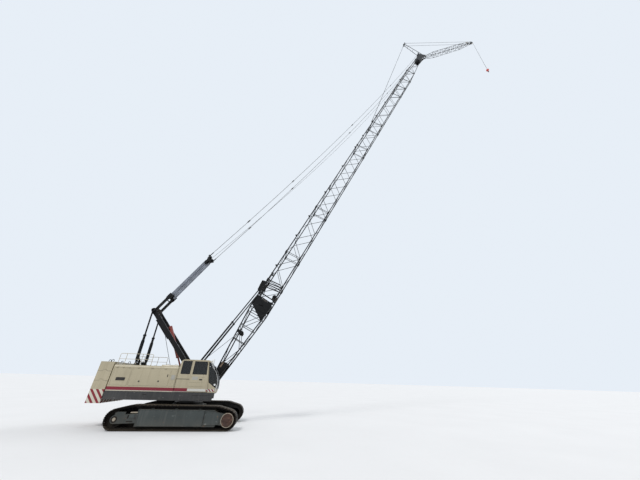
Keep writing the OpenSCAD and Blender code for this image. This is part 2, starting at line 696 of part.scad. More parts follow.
module door_glass() color("#7f9aa5") at_slew()
    door_pane(-door_y - door_t/2 - glass_t/2, -door_y - door_t/2 + glass_t/2);

// Two hoist drums between bearing plates on the deck
drums = [[-860, deck_z + 250], [-470, deck_z + 230]];
drum_y = 175;
module hoist_drums() color("#5d5148") at_slew() for (d = drums) {
    axle(d, 115, -drum_y, drum_y);
    for (y = [-drum_y, drum_y - 18]) axle(d, 190, y, y + 18);
    axle(d, 40, -drum_y - 15, drum_y + 15);
    for (y = [-drum_y - 15, drum_y + run_gap]) slab(y, y + 15 - run_gap)
        polygon([[d[0] - 150, deck_z], [d[0] + 150, deck_z], [d[0] + 60, d[1] + 60],
            [d[0] - 60, d[1] + 60]]);
}

rail_r = 8;
rail_h = 360;
module handrails() color("#cfc6a8") at_slew() both_sides() {
    y = -upper_w/2 + 78;
    z = roof_z;
    posts = [-2440, -2235, -1720, -1370];
    for (x = posts) bar([x, y, z], [x, y, z + rail_h], rail_r);
    for (h = [rail_h/2, rail_h - rail_r]) bar([posts[0], y, z + h], [posts[3], y, z + h], rail_r - 1.5, 8);
}

// Gantry

module gantry_frame() color("#1d1e20") at_slew() difference() {
    union() {
        along(leg_foot, leg_a) both_sides() {
            translate([0, -leg_y - leg_w/2, 0]) rotate([-90, 0, 0]) cylinder(h = leg_w, r = 50);
            block(20, leg_l - 60, -leg_y - leg_w/2, -leg_y + leg_w/2, -leg_d/2, leg_d/2);
            translate([leg_l, -leg_y - leg_w/2, 0]) rotate([-90, 0, 0]) cylinder(h = leg_w, r = 90);
        }
        // Cross members between the legs
        along(leg_foot, leg_a) for (s = [1750, 2600, leg_l - 320])
            block(s, s + 90, -leg_y, leg_y, -30, 30);
        axle(gantry_head, 38, -leg_y - leg_w/2 - 40, leg_y + leg_w/2 + 40);
    }
    axle(leg_foot, pin_r + run_gap, -leg_y - leg_w, leg_y + leg_w);
}
sheave_t = 34;
module sheave(at, r, y, shaft_r) difference() {
    axle(at, r, y - sheave_t/2, y + sheave_t/2);
    translate([at[0], y, at[1]]) rotate([-90, 0, 0]) rotate_extrude() translate([r, 0])
        polygon([[1, -14], [1, 14], [-groove, 11], [-groove, -11]]);
    axle(at, shaft_r + run_gap, y - sheave_t, y + sheave_t);
}
module gantry_sheaves() color("#4c4640") at_slew() for (y = [-110, -66, -22, 22, 66, 110])
    sheave(gantry_head, 135, y, 38);

strut_tube_l = 980;
strut_rod_s = 620;
module gantry_leg_tubes() color("#1d1e20") at_slew() both_sides() difference() {
    along(strut_foot, strut_a) {
        translate([0, -strut_y - 17, 0]) rotate([-90, 0, 0]) cylinder(h = 34, r = 38);
        translate([0, -strut_y, 0]) rotate([0, 90, 0]) cylinder(h = post_w + 20, r = 16);
        translate([post_w + side_gap, -strut_y, 0]) rotate([0, 90, 0])
            cylinder(h = strut_tube_l - post_w - side_gap, r = strut_r + 14);
    }
    along(strut_foot, strut_a) translate([post_w + 30, -strut_y, 0]) rotate([0, 90, 0])
        cylinder(h = strut_tube_l, r = strut_r + run_gap);
    axle(strut_foot, 16 + run_gap, -strut_y - 30, -strut_y + 30);
}
module gantry_leg_rods() color("#1d1e20") at_slew() both_sides()
    along(strut_foot, strut_a) difference() {
        union() {
            translate([strut_rod_s + 200, -strut_y, 0]) rotate([0, 90, 0])
                cylinder(h = strut_l - strut_rod_s - 230, r = strut_r);
            translate([strut_l, -strut_y - 18, 0]) rotate([-90, 0, 0]) cylinder(h = 36, r = 62);
        }
        translate([strut_l, -strut_y - 40, 0]) rotate([-90, 0, 0]) cylinder(h = 80, r = 39);
    }

// Lower spreader: two side plates hung on the head shaft, with a row of sheaves at their far end
bail_y = 150;
module lower_spreader() color("#1d1e20") at_slew() along(gantry_head, line_a) {
    difference() {
        both_sides() slab(-bail_y - 16, -bail_y) {
            circle(r = 85);
            polygon([[0, -85], [bail_l - 60, -88], [bail_l + 60, -50], [bail_l + 60, 50],
                [bail_l - 60, 88], [0, 85]]);
        }
        axle([0, 0], 38 + run_gap, -bail_y - 20, bail_y + 20);
    }
    axle([bail_l, 0], 30, -bail_y, bail_y);
    block(bail_l - 190, bail_l - 150, -bail_y, bail_y, -40, 40);
    for (y = [-88, -44, 0, 44, 88]) axle([bail_l, 0], 105, y - 15, y + 15);
}
// Upper spreader: a block of sheaves on a cross pin
module upper_spreader() color("#1d1e20") at_slew() along(spreader_at, line_a) {
    both_sides() slab(-180, -150) {
        circle(r = 90);
        polygon([[-260, -45], [0, -60], [120, -50], [120, 50], [0, 60], [-260, 45]]);
    }
    // Its pin stops at the pendants' eyes, with the linkage opened there
    axle([60, 0], 34, -pendant_y + eye_half + run_gap, pendant_y - eye_half - run_gap);
    axle([-180, 0], 30, -150, 150);
    for (y = [-88, -44, 0, 44, 88]) axle([-180, 0], 105, y - 15, y + 15);
}

// Boom

// Lattice box along x: half width and half depth go from [w0, d0] at x0 to [w1, d1] at x1
module lattice(x0, x1, w0, d0, w1, d1, bays, cr, lr) {
    function w(i) = w0 + (w1 - w0)*i/bays;
    function d(i) = d0 + (d1 - d0)*i/bays;
    function x(i) = x0 + (x1 - x0)*i/bays;
    for (sy = [-1, 1], sz = [-1, 1]) bar([x0, sy*w0, sz*d0], [x1, sy*w1, sz*d1], cr, 8);
    for (i = [0:bays - 1]) {
        k = i % 2 == 0 ? 1 : -1;
        for (sy = [-1, 1]) bar([x(i), sy*w(i), -k*d(i)], [x(i + 1), sy*w(i + 1), k*d(i + 1)], lr);
        for (sz = [-1, 1]) bar([x(i), -k*w(i), sz*d(i)], [x(i + 1), k*w(i + 1), sz*d(i + 1)], lr);
    }
}
// Square frame across the boom at x
module cross_frame(x, w, d, r) {
    for (s = [-1, 1]) {
        bar([x, -w, s*d], [x, w, s*d], r);
        bar([x, s*w, -d], [x, s*w, d], r);
    }
}
// Blocks on the four chord ends, where sections are pinned together
module chord_ends(x0, x1, h) for (sy = [-1, 1], sz = [-1, 1])
    block(x0, x1, sy*h - 36, sy*h + 36, sz*h - 40, sz*h + 40);
end_l = 70;
// Lug on the back of the boom for the jib's back stays
back_lug = [backstay_s + 40, boom_h + 75];
back_pin = 14;
// The stays end inside these lugs, so that they pass inside the pendants
back_end_y = boom_h - 8 - 2.2*stay_r - 1;
module back_stay_lugs() both_sides() {
    slab(-boom_h - 8, -boom_h + 8) {
        translate(back_lug) circle(r = 32);
        polygon([[backstay_s + 2, boom_h + 39], [backstay_s + end_l, boom_h + 39],
            [back_lug[0] + 31, back_lug[1]], [back_lug[0] - 31, back_lug[1]]]);
    }
    axle(back_lug, back_pin, -boom_h, -back_end_y + 14);
}
module boom_insert(k) color("#17181a") on_boom_axis() {
    x0 = base_l + (k == 0 ? 0 : sum([for (i = [0:k - 1]) insert_l[i]]));
    x1 = x0 + insert_l[k];
    lattice(x0 + end_l/2, x1 - end_l/2, boom_h, boom_h, boom_h, boom_h,
        max(2, 2*round(insert_l[k]/bay_l/2)), chord_r, lace_r);
    chord_ends(x0, x0 + end_l, boom_h);
    chord_ends(x1 - end_l, x1, boom_h);
    cross_frame(x0 + end_l/2, boom_h, boom_h, lace_r);
    cross_frame(x1 - end_l/2, boom_h, boom_h, lace_r);
}
module boom_insert_1() boom_insert(0);
module boom_insert_2() boom_insert(1);
module boom_insert_3() boom_insert(2);
module boom_insert_4() boom_insert(3);
module boom_insert_5() {
    boom_insert(4);
    color("#17181a") on_boom_axis() back_stay_lugs();
}
module boom_insert_6() boom_insert(5);

taper_l = 3400;
foot_d = 45;
winch_s = 3750;
winch_y = boom_h - 54;
stop_eye_w = 52;
module boom_base() color("#17181a") on_boom_axis() difference() {
    union() {
        lattice(90, taper_l, foot_y, foot_d, boom_h - 12, boom_h, 4, chord_r, lace_r);
        lattice(taper_l, base_l - end_l/2, boom_h - 12, boom_h, boom_h, boom_h, 2, chord_r, lace_r);
        chord_ends(base_l - end_l, base_l, boom_h);
        cross_frame(base_l - end_l/2, boom_h, boom_h, lace_r);
        cross_frame(taper_l, boom_h - 12, boom_h, lace_r + 6);
        // Foot hubs and the box between them and the lattice
        both_sides() {
            translate([0, -foot_y - hub_w/2, 0]) rotate([-90, 0, 0]) cylinder(h = hub_w, r = 55);
            slab(-foot_y - 26, -foot_y + 26) polygon([[0, -50], [950, -150], [1150, -100], [1150, 100],
                [950, 150], [0, 50]]);
        }
        block(480, 540, -foot_y, foot_y, -60, 60);
        // Plates that carry the extra winch
        both_sides() slab(-boom_h + 20, -winch_y) polygon([[winch_s - 220, boom_h - 20],
            [winch_s - 90, -60], [winch_s - 220, -boom_h + 20],
            [winch_s + 220, -boom_h + 20], [winch_s + 90, -60], [winch_s + 220, boom_h - 20]]);
        // Cross beam and lugs that the backstops bear on
        block(stop_lug[0] - 60, stop_lug[0] + 60, -boom_h, boom_h, boom_h - 20, boom_h + 10);
        both_sides() slab(-stop_y - stop_eye_w/2 - side_gap - 16, -stop_y - stop_eye_w/2 - side_gap) {
            translate(stop_lug) circle(r = 40);
            polygon([[stop_s - 60, boom_h + 9], [stop_s + 60, boom_h + 9], [stop_s + 38, stop_lug[1]],
                [stop_s - 38, stop_lug[1]]]);
        }
    }
    translate([0, -foot_y - hub_w, 0]) rotate([-90, 0, 0]) cylinder(h = 2*foot_y + 2*hub_w,
        r = pin_r + run_gap);
}
// Extra winch in the top of the base section
module base_winch() color("#24252a") on_boom_axis() {
    axle([winch_s, 0], 130, -250, 250);
    for (y = [-250, 232]) axle([winch_s, 0], 210, y, y + 18);
    axle([winch_s, 0], 40, -winch_y, winch_y);
}

neck_x = boom_l - top_l + 3300;
head_w = 190;
module boom_top() color("#17181a") on_boom_axis() {
    x0 = boom_l - top_l;
    chord_ends(x0, x0 + end_l, boom_h);
    cross_frame(x0 + end_l/2, boom_h, boom_h, lace_r);
    lattice(x0 + end_l/2, neck_x, boom_h, boom_h, head_w + 20, 190, 4, chord_r, lace_r);
    cross_frame(neck_x, head_w + 20, 190, lace_r + 6);
    // Head plates with the eyes for the pendants, the sheaves and the jib
    both_sides() slab(-head_w - 34, -head_w) {
        polygon([[neck_x - 40, -215], [boom_l, -300], [boom_l + jib_foot[0] + 60, jib_foot[1] - 60],
            [boom_l + jib_foot[0] + 90, jib_foot[1] + 60], [boom_l + 110, 0], [boom_l + 60, 180],
            [pendant_lug[0] + 90, pendant_lug[1] + 70], [pendant_lug[0] - 70, pendant_lug[1] + 70],
                [neck_x - 40, 215]]);
    }
    for (x = [neck_x + 120, boom_l - 300]) block(x, x + 60, -head_w, head_w, -60, 60);
    axle([boom_l, 0], 38, -head_w, head_w);
    axle([boom_l + jib_foot[0], jib_foot[1]], 30, -head_w, head_w);
    // Cross pin of the pendants
    axle(pendant_lug, 30, -pendant_y - 30, pendant_y + 30);
}
module boom_sheaves() color("#4c4640") on_boom_axis() for (y = [-120, -60, 0, 60, 120])
    sheave([boom_l, 0], 170, y, 38);

module on_jib() on_boom_axis() along([boom_l + jib_foot[0], jib_foot[1]], -jib_a) children();
jib_y = 130;
jib_plate = 32;
jib_base_l = 1700;
jib_taper_l = 2600;
jib_lace_r = 8;
// Pin of the front stays near the tip, and the place of the stays beside the plates
stay_lug = [jib_l - 180, 50];
stay_pin = 20;
stay_y = 122;
back_stay_y = 170;
module tip_sheave() color("#4c4640") on_jib() sheave([jib_l, 0], tip_sheave_r, 0, 20);
module jib() color("#17181a") on_jib() difference() {
    union() {
        both_sides() slab(-jib_y - jib_plate/2, -jib_y + jib_plate/2) {
            circle(r = 60);
            polygon([[0, -40], [300, -60], [300, 60], [0, 40]]);
        }
        block(230, 290, -jib_y, jib_y, -30, 30);
        lattice(240, jib_base_l, jib_y, 40, jib_h, jib_h, 3, jib_chord_r, jib_lace_r);
        lattice(jib_base_l, jib_l - jib_taper_l, jib_h, jib_h, jib_h, jib_h, 12, jib_chord_r, jib_lace_r);
        lattice(jib_l - jib_taper_l, jib_l - 200, jib_h, jib_h, 75, 50, 6, jib_chord_r, jib_lace_r);
        for (x = [jib_base_l, (jib_base_l + jib_l - jib_taper_l)/2, jib_l - jib_taper_l])
            cross_frame(x, jib_h, jib_h, lace_r);
        // Tip plates
        both_sides() slab(-84, -60) {
            polygon([[jib_l - 320, -70], [jib_l, -90], [jib_l + 80, 0], [jib_l, 90], [jib_l - 320, 70]]);
        }
        axle([jib_l, 0], 20, -75, 75);
        block(jib_l - 260, jib_l - 220, -70, 70, -30, 30);
        axle(stay_lug, stay_pin, -stay_y - 14, stay_y + 14);
    }
    axle([0, 0], 30 + run_gap, -jib_y - 40, jib_y + 40);
}
strut_dir = strut_top - [jib_foot[0], jib_foot[1]];
jib_strut_l = norm(strut_dir);
strut_leg_r = 20;
strut_leg_y = jib_y + jib_plate/2 + strut_leg_r + 3;
strut_pin = 26;
module jib_strut() color("#17181a") on_boom_axis() along([boom_l + jib_foot[0], jib_foot[1]],
    angle_of(strut_dir)) difference() {
    union() {
        both_sides() {
            axle([0, 0], 52, -strut_leg_y - 10, -strut_leg_y + 10);
            bar([30, -strut_leg_y, 0], [jib_strut_l, -70, 0], strut_leg_r, 8);
        }
        for (s = [0.3, 0.55, 0.8]) bar([s*jib_strut_l, -strut_leg_y + 95*s, 0],
            [s*jib_strut_l, strut_leg_y - 95*s, 0], 14);
        axle([jib_strut_l, 0], strut_pin, -back_stay_y - 14, back_stay_y + 14);
        for (y = [-16, 16]) axle([jib_strut_l, 0], 90, y - 12, y + 12);
    }
    axle([0, 0], 30 + run_gap, -strut_leg_y - 40, strut_leg_y + 40);
}

// A stay from p to q with a socket at each end, seen as [x, y, z]
socket_l = 220;
module stay(p, q) {
    u = (q - p)/norm(q - p);
    bar(p, q, stay_r, 8);
    bar(p, p + socket_l*u, 2.2*stay_r, 8);
    bar(q - socket_l*u, q, 2.2*stay_r, 8);
}
// A stay in the boom's side plane at y, with an eye on a pin at each end
module eye_stay(p, p_pin, q, q_pin, y, w, yq) difference() {
    union() {
        stay([p[0], y, p[1]], [q[0], yq, q[1]]);
        axle(p, p_pin + 18, y - w/2, y + w/2);
        axle(q, q_pin + 18, yq - w/2, yq + w/2);
    }
    axle(p, p_pin + run_gap, y - 40, y + 40);
    axle(q, q_pin + run_gap, yq - 40, yq + 40);
}
// The pendants' eye at the upper spreader, a place on their hanging curve at share t, and the slope there
pendant_foot = spreader_at + 60*[cos(line_a), sin(line_a)];
pendant_l = norm(pendant_at - pendant_foot);
function hang(t) = pendant_foot + t*(pendant_at - pendant_foot)
    + 4*pendant_sag*t*(1 - t)*[sin(line_a), -cos(line_a)];
function slope(t) = line_a - atan(4*pendant_sag*(1 - 2*t)/pendant_l);
pendant_steps = 12;
module pendants() color("#1b1c1e") at_slew() both_sides() {
    difference() {
        union() {
            for (i = [1:pendant_steps]) {
                p = hang((i - 1)/pendant_steps);
                d = hang(i/pendant_steps) - p;
                along(p, angle_of(d)) translate([0, -pendant_y, 0]) rotate([0, 90, 0])
                    cylinder(h = norm(d) + 1, r = stay_r, $fn = 8);
            }
            for (e = [[pendant_foot, 34, 0, 0], [pendant_at, 30, 1, 180]]) {
                axle(e[0], e[1] + 18, -pendant_y - eye_half, -pendant_y + eye_half);
                along(e[0], slope(e[2]) + e[3]) translate([0, -pendant_y, 0]) rotate([0, 90, 0])
                    cylinder(h = socket_l, r = 2.2*stay_r, $fn = 8);
            }
        }
        axle(pendant_foot, 34 + run_gap, -pendant_y - 40, -pendant_y + 40);
        axle(pendant_at, 30 + run_gap, -pendant_y - 40, -pendant_y + 40);
    }
    // Flat links where the lengths of rope are pinned together
    for (t = pendant_links) along(hang(t), slope(t))
        slab(-pendant_y - 12, -pendant_y + 12) polygon([[-100, -14], [-70, -26], [70, -26], [100, -14],
            [100, 14], [70, 26], [-70, 26], [-100, 14]]);
}
module jib_front_stays() color("#1b1c1e") on_boom_axis() both_sides()
    eye_stay([boom_l, 0] + strut_top, strut_pin, [boom_l, 0] + jib_foot
        + [stay_lug[0]*cos(jib_a) + stay_lug[1]*sin(jib_a),
            -stay_lug[0]*sin(jib_a) + stay_lug[1]*cos(jib_a)],
        stay_pin, -stay_y, 20, -stay_y);
module jib_back_stays() color("#1b1c1e") on_boom_axis() both_sides()
    eye_stay([boom_l, 0] + strut_top, strut_pin, back_lug, back_pin, -back_stay_y, 20, -back_end_y);

// Backstops

stop_tube_l = 2650;
module backstop_tubes() color("#1d1e20") at_slew() both_sides() difference() {
    along(stop_foot, stop_a) {
        translate([0, -stop_y - 15, 0]) rotate([-90, 0, 0]) cylinder(h = 30, r = 42);
        translate([30, -stop_y, 0]) rotate([0, 90, 0]) cylinder(h = stop_tube_l - 30,
            r = stop_r + stop_wall);
    }
    along(stop_foot, stop_a) translate([60, -stop_y, 0]) rotate([0, 90, 0])
        cylinder(h = stop_tube_l, r = stop_r + run_gap);
    axle(stop_foot, 20 + run_gap, -stop_y - 40, -stop_y + 40);
}
module backstop_rods() color("#3a3c40") at_slew() both_sides() along(stop_foot, stop_a) {
    translate([stop_l - 3100, -stop_y, 0]) rotate([0, 90, 0]) cylinder(h = 3060, r = stop_r);
    translate([stop_l, -stop_y - stop_eye_w/2, 0]) rotate([-90, 0, 0])
        cylinder(h = stop_eye_w, r = stop_eye_r);
}

// Hoist line, ball and hook, plumb under the tip of the jib

ball_z = jib_tip_at[1] - fall;
module hoist_line() color("#2a2a2a") at_slew() translate([line_x, 0, ball_z + ball_r - 6])
    cylinder(h = fall - ball_r + 6, r = stay_r);
module hook_ball() color("#b3372c") at_slew() difference() {
    translate([line_x, 0, ball_z]) sphere(r = ball_r);
    translate([line_x, 0, ball_z + ball_r - 6]) cylinder(h = 40, r = stay_r);
    translate([line_x, 0, ball_z - ball_r - 40]) cylinder(h = 60, r = 22);
}
hook_r = 62;
module hook() color("#6b6c6e") at_slew() translate([line_x, 0, ball_z - ball_r - 40]) {
    cylinder(h = 60, r = 22);
    translate([0, 18, -hook_r - 60]) rotate([90, 0, 0]) linear_extrude(36) union() {
        difference() {
            circle(r = hook_r + 24);
            translate([-6, 4]) circle(r = hook_r - 18);
            polygon([[-200, 8], [-20, 8], [-20, 200], [-200, 200]]);
        }
        polygon([[-20, hook_r - 16], [24, hook_r - 20], [22, hook_r + 61], [-22, hook_r + 61]]);
    }
}

carbody();
slew_ring();
side_frames();
track_right();
track_left();
drive_wheels();
idler_wheels();
track_rollers();
side_covers();
revolving_frame();
house();
engine();
counterweight_lower();
counterweight_middle();
counterweight_upper();
cab_shell();
cab_glass();
cab_seat();
hoist_drums();
handrails();
cab_door();
door_glass();
gantry_frame();
gantry_sheaves();
gantry_leg_tubes();
gantry_leg_rods();
lower_spreader();
upper_spreader();
boom_base();
boom_insert_1();
boom_insert_2();
boom_insert_3();
boom_insert_4();
boom_insert_5();
boom_insert_6();
boom_top();
boom_sheaves();
tip_sheave();
base_winch();
jib();
jib_strut();
pendants();
jib_front_stays();
jib_back_stays();
backstop_tubes();
backstop_rods();
hoist_line();
hook_ball();
hook();
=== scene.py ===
# Crawler crane with a lattice boom and a fly jib: the looks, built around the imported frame
# Places are in millimetres from the slewing axis, as in the part's source: x to the front, y to the left, z up
import math
import random

import bmesh
import bpy
from mathutils import Matrix, Vector


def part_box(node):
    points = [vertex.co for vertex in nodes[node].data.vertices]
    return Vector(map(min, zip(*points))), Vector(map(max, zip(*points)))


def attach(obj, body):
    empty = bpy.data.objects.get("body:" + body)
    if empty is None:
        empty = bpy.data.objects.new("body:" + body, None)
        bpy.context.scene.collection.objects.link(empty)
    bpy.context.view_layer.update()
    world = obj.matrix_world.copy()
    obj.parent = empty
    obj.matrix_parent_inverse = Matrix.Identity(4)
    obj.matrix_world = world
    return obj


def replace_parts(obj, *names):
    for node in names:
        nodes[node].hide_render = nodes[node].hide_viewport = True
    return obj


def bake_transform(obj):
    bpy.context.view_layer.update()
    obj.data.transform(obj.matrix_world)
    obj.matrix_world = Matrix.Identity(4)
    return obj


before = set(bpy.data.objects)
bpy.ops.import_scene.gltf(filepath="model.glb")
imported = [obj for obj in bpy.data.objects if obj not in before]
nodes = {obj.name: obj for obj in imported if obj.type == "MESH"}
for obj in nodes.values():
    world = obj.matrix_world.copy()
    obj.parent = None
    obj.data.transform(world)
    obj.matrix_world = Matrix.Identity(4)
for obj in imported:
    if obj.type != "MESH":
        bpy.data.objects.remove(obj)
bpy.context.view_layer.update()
random.seed(11)
print("frame loaded:", len(nodes), "CAD nodes")

mm = 0.001
ringLow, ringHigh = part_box("slew_ring")
slewX = (ringLow.x + ringHigh.x) / 2


def spot(x, y, z):
    return Vector((slewX + x * mm, y * mm, z * mm))


def places(points, sign=1):  # the same points on one side or the other
    return [spot(x, sign * y, z) for x, y, z in points]


def placer(origin, angle):
    c, s = math.cos(math.radians(angle)), math.sin(math.radians(angle))
    return lambda along, y, up: spot(origin[0] + along * c - up * s, y, origin[1] + along * s + up * c)


def turned(origin, angle, point):
    c, s = math.cos(math.radians(angle)), math.sin(math.radians(angle))
    return (origin[0] + point[0] * c - point[1] * s, origin[1] + point[0] * s + point[1] * c)


def angleTo(p, q):
    return math.degrees(math.atan2(q[1] - p[1], q[0] - p[0]))


def distance(p, q):
    return math.hypot(q[0] - p[0], q[1] - p[1])


def sagging(p, q, sag, count=24):  # points of a slack rope between two places in the side plane
    a = math.radians(angleTo(p, q))
    points = []
    for i in range(count + 1):
        t = i / count
        drop = 4 * sag * t * (1 - t)
        x, z = p[0] + (q[0] - p[0]) * t, p[1] + (q[1] - p[1]) * t
        points.append((x + drop * math.sin(a), z - drop * math.cos(a)))
    return points


# The main lines of the crane, in its side plane
lines = {
    "boomFoot": (550, 950), "boomAngle": 64.8, "boomLength": 32500,
    "jibFoot": (170, -290), "jibAngle": 24.4,
    "gantryFoot": (300, 1200), "gantryHead": (-2050, 3760), "legFoot": (-2015, 1840), "legSide": 400,
    "pendantLug": (260, 330), "spreader": 2935, "bail": 750,
    "stopFoot": (-320, 1250), "stopLug": (4180, 489), "stopSide": 215,
}
boomFoot, boomAngle, boomLength = lines["boomFoot"], lines["boomAngle"], lines["boomLength"]
jibOrigin = turned(boomFoot, boomAngle, (boomLength + lines["jibFoot"][0], lines["jibFoot"][1]))
head = lines["gantryHead"]
pendantEnd = turned(boomFoot, boomAngle, (boomLength - lines["pendantLug"][0], lines["pendantLug"][1]))
stopEnd = turned(boomFoot, boomAngle, lines["stopLug"])
flat = placer((0, 0), 0)
onBoom = placer(boomFoot, boomAngle)
onJib = placer(jibOrigin, boomAngle - lines["jibAngle"])
onGantry = placer(lines["gantryFoot"], angleTo(lines["gantryFoot"], head))
onLine = placer(head, angleTo(head, pendantEnd))
onStop = placer(lines["stopFoot"], angleTo(lines["stopFoot"], stopEnd))
gantryLength = distance(lines["gantryFoot"], head)


# Materials: a painted or bare surface with uneven colour, streaks, chips, dust, a painted highlight on upward
# faces and fine bumps
def makeMaterial(name, look):
    material = bpy.data.materials.new(name)
    material.use_nodes = True
    tree = material.node_tree
    shader = tree.nodes["Principled BSDF"]
    link = tree.links.new

    def add(kind, **values):
        node = tree.nodes.new(kind)
        for key, value in values.items():
            setattr(node, key, value)
        return node

    coord = add("ShaderNodeTexCoord")
    where = coord.outputs["Object"]

    def noise(scale, detail=4.0, stretch=None):
        source = where
        if stretch:
            mapping = add("ShaderNodeMapping")
            mapping.inputs["Scale"].default_value = stretch
            link(where, mapping.inputs["Vector"])
            source = mapping.outputs["Vector"]
        node = add("ShaderNodeTexNoise")
        node.inputs["Scale"].default_value = scale
        node.inputs["Detail"].default_value = detail
        link(source, node.inputs["Vector"])
        return node.outputs["Fac"]

    def ranged(value, low, high, outLow, outHigh):
        node = add("ShaderNodeMapRange")
        for key, number in (("From Min", low), ("From Max", high), ("To Min", outLow), ("To Max", outHigh)):
            node.inputs[key].default_value = number
        link(value, node.inputs["Value"])
        return node.outputs["Result"]

    def maths(kind, a, b=0.0):
        node = add("ShaderNodeMath", operation=kind)
        for socket, value in zip(node.inputs, (a, b)):
            if isinstance(value, (int, float)):
                socket.default_value = value
            else:
                link(value, socket)
        return node.outputs[0]

    def mixed(amount, first, second):
        node = add("ShaderNodeMix", data_type="RGBA")
        link(amount, node.inputs["Factor"])
        for key, value in (("A", first), ("B", second)):
            socket = [i for i in node.inputs if i.name == key and i.type == "RGBA"][0]
            if isinstance(value, tuple):
                socket.default_value = (*value, 1)
            else:
                link(value, socket)
        return [o for o in node.outputs if o.type == "RGBA"][0]

    def split(source):
        node = add("ShaderNodeSeparateXYZ")
        link(source, node.inputs[0])
        return node.outputs["X"], node.outputs["Y"], node.outputs["Z"]

    base = look["colour"]
    vary = look.get("vary", 0.12)
    colour = mixed(
        ranged(noise(look.get("patchScale", 1.7), 5), 0.32, 0.68, 0, 1),
        tuple(c * (1 - vary) for c in base),
        tuple(min(1, c * (1 + vary)) for c in base),
    )
    if "streak" in look:
        stretch = look.get("streakStretch", (14, 14, 0.9))
        streaks = ranged(noise(1, 6, stretch), 0.52, 0.72, 0, look.get("streakAmount", 0.4))
        colour = mixed(streaks, colour, look["streak"])
    if "dust" in look:
        low, high = look["dustHeights"]
        fade = ranged(split(where)[2], low, high, look.get("dustAmount", 0.55), 0)
        dusty = maths("MULTIPLY", fade, ranged(noise(3.1, 6), 0.3, 0.6, 0.35, 1))
        colour = mixed(dusty, colour, look["dust"])
    if "pattern" in look:
        colour = look["pattern"](split(where), maths, mixed, colour)
    if "chip" in look:
        edge = look.get("chipEdge", 0.64)
        chips = ranged(noise(look.get("chipScale", 16), 9), edge, edge + 0.03, 0, 0.85)
        colour = mixed(chips, colour, look["chip"])
    if "scratch" in look:
        stretch = look.get("scratchStretch", (3, 60, 18))
        scratches = ranged(noise(1, 2, stretch), 0.66, 0.69, 0, look.get("scratchAmount", 0.7))
        broken = maths("MULTIPLY", scratches, ranged(noise(2.3, 3), 0.5, 0.62, 0, 1))
        colour = mixed(broken, colour, look["scratch"])
    if "topDustAndLight" in look:  # dust, and a painted highlight, on the faces that look up
        upward = ranged(split(coord.outputs["Normal"])[2], 0.45, 0.9, 0, look.get("topDustAndLightAmount", 0.6))
        topDustAndLightMask = maths("MULTIPLY", upward, ranged(noise(4.3, 6), 0.3, 0.6, 0.5, 1))
        colour = mixed(topDustAndLightMask, colour, look["topDustAndLight"])
    link(colour, shader.inputs["Base Color"])
    rough = look["rough"]
    smudges = ranged(noise(6, 5), 0.3, 0.7, max(0.04, rough - 0.12), min(1, rough + 0.12))
    link(smudges, shader.inputs["Roughness"])
    bump = add("ShaderNodeBump")
    bump.inputs["Strength"].default_value = look.get("bump", 0.25)
    bump.inputs["Distance"].default_value = look.get("bumpDepth", 0.002)
    link(noise(look.get("grainScale", 90), 6, look.get("grainStretch")), bump.inputs["Height"])
    link(bump.outputs["Normal"], shader.inputs["Normal"])
    shader.inputs["Metallic"].default_value = look.get("metal", 0)
    shader.inputs["Specular IOR Level"].default_value = look.get("shine", 0.5)
    if "coat" in look:
        shader.inputs["Coat Weight"].default_value = look["coat"]
        shader.inputs["Coat Roughness"].default_value = 0.25
    return material


# Masks that paint the red band, the leaning bars on the counterweight and the short bars under the cab
bandPaint = {"low": 1.030, "high": 1.125, "rear": -2.480, "front": 0.040, "edge": 0.012,
             "red": (0.190, 0.006, 0.020)}
barPaint = {"top": 1.040, "period": 0.176, "share": 0.477, "lean": 0.89, "start": 2.0434, "side": 0.750,
            "red": (0.200, 0.008, 0.016), "pale": (0.56, 0.53, 0.44)}
cabPaint = {"rear": 0.670, "front": 0.931, "low": 1.040, "high": 1.112, "period": 0.104, "lean": 1.0,
            "stripRear": 0.055, "stripFront": 0.645, "strip": (0.56, 0.55, 0.51)}
postPaint = {"x": 0.182, "z": 1.225, "radius": 0.786, "rear": 0.640, "silver": (0.30, 0.31, 0.31)}


def between(value, low, high, maths):
    return maths("MULTIPLY", maths("GREATER_THAN", value, low), maths("LESS_THAN", value, high))


def patch(x, z, rear, front, low, high, maths):
    return maths("MULTIPLY", between(x, slewX + rear, slewX + front, maths), between(z, low, high, maths))


def housePattern(place, maths, mixed, colour):
    x, _, z = place
    low, high, rear, front = (bandPaint[key] for key in ("low", "high", "rear", "front"))
    colour = mixed(patch(x, z, rear, front, low, high, maths), colour, bandPaint["red"])
    colour = mixed(patch(x, z, rear, front, low - bandPaint["edge"], low, maths), colour, cabPaint["strip"])
    low, high = cabPaint["low"], cabPaint["high"]
    for rear, front in ((cabPaint["stripRear"], cabPaint["stripFront"]), (cabPaint["rear"], cabPaint["front"])):
        colour = mixed(patch(x, z, rear, front, low, high, maths), colour, cabPaint["strip"])
    dx, dz = maths("SUBTRACT", x, slewX + postPaint["x"]), maths("SUBTRACT", z, postPaint["z"])
    reach = maths("ADD", maths("MULTIPLY", dx, dx), maths("MULTIPLY", dz, dz))
    post = maths("MULTIPLY", maths("GREATER_THAN", reach, postPaint["radius"] ** 2),
                 maths("GREATER_THAN", x, slewX + postPaint["rear"]))
    colour = mixed(maths("MULTIPLY", post, maths("GREATER_THAN", z, high)), colour, postPaint["silver"])
    lean = maths("ADD", x, maths("MULTIPLY", z, cabPaint["lean"]))
    wave = maths("FRACT", maths("DIVIDE", lean, cabPaint["period"]))
    bars = maths("MULTIPLY", maths("GREATER_THAN", wave, 0.5),
                 patch(x, z, cabPaint["rear"], cabPaint["front"], low, high, maths))
    return mixed(bars, colour, bandPaint["red"])


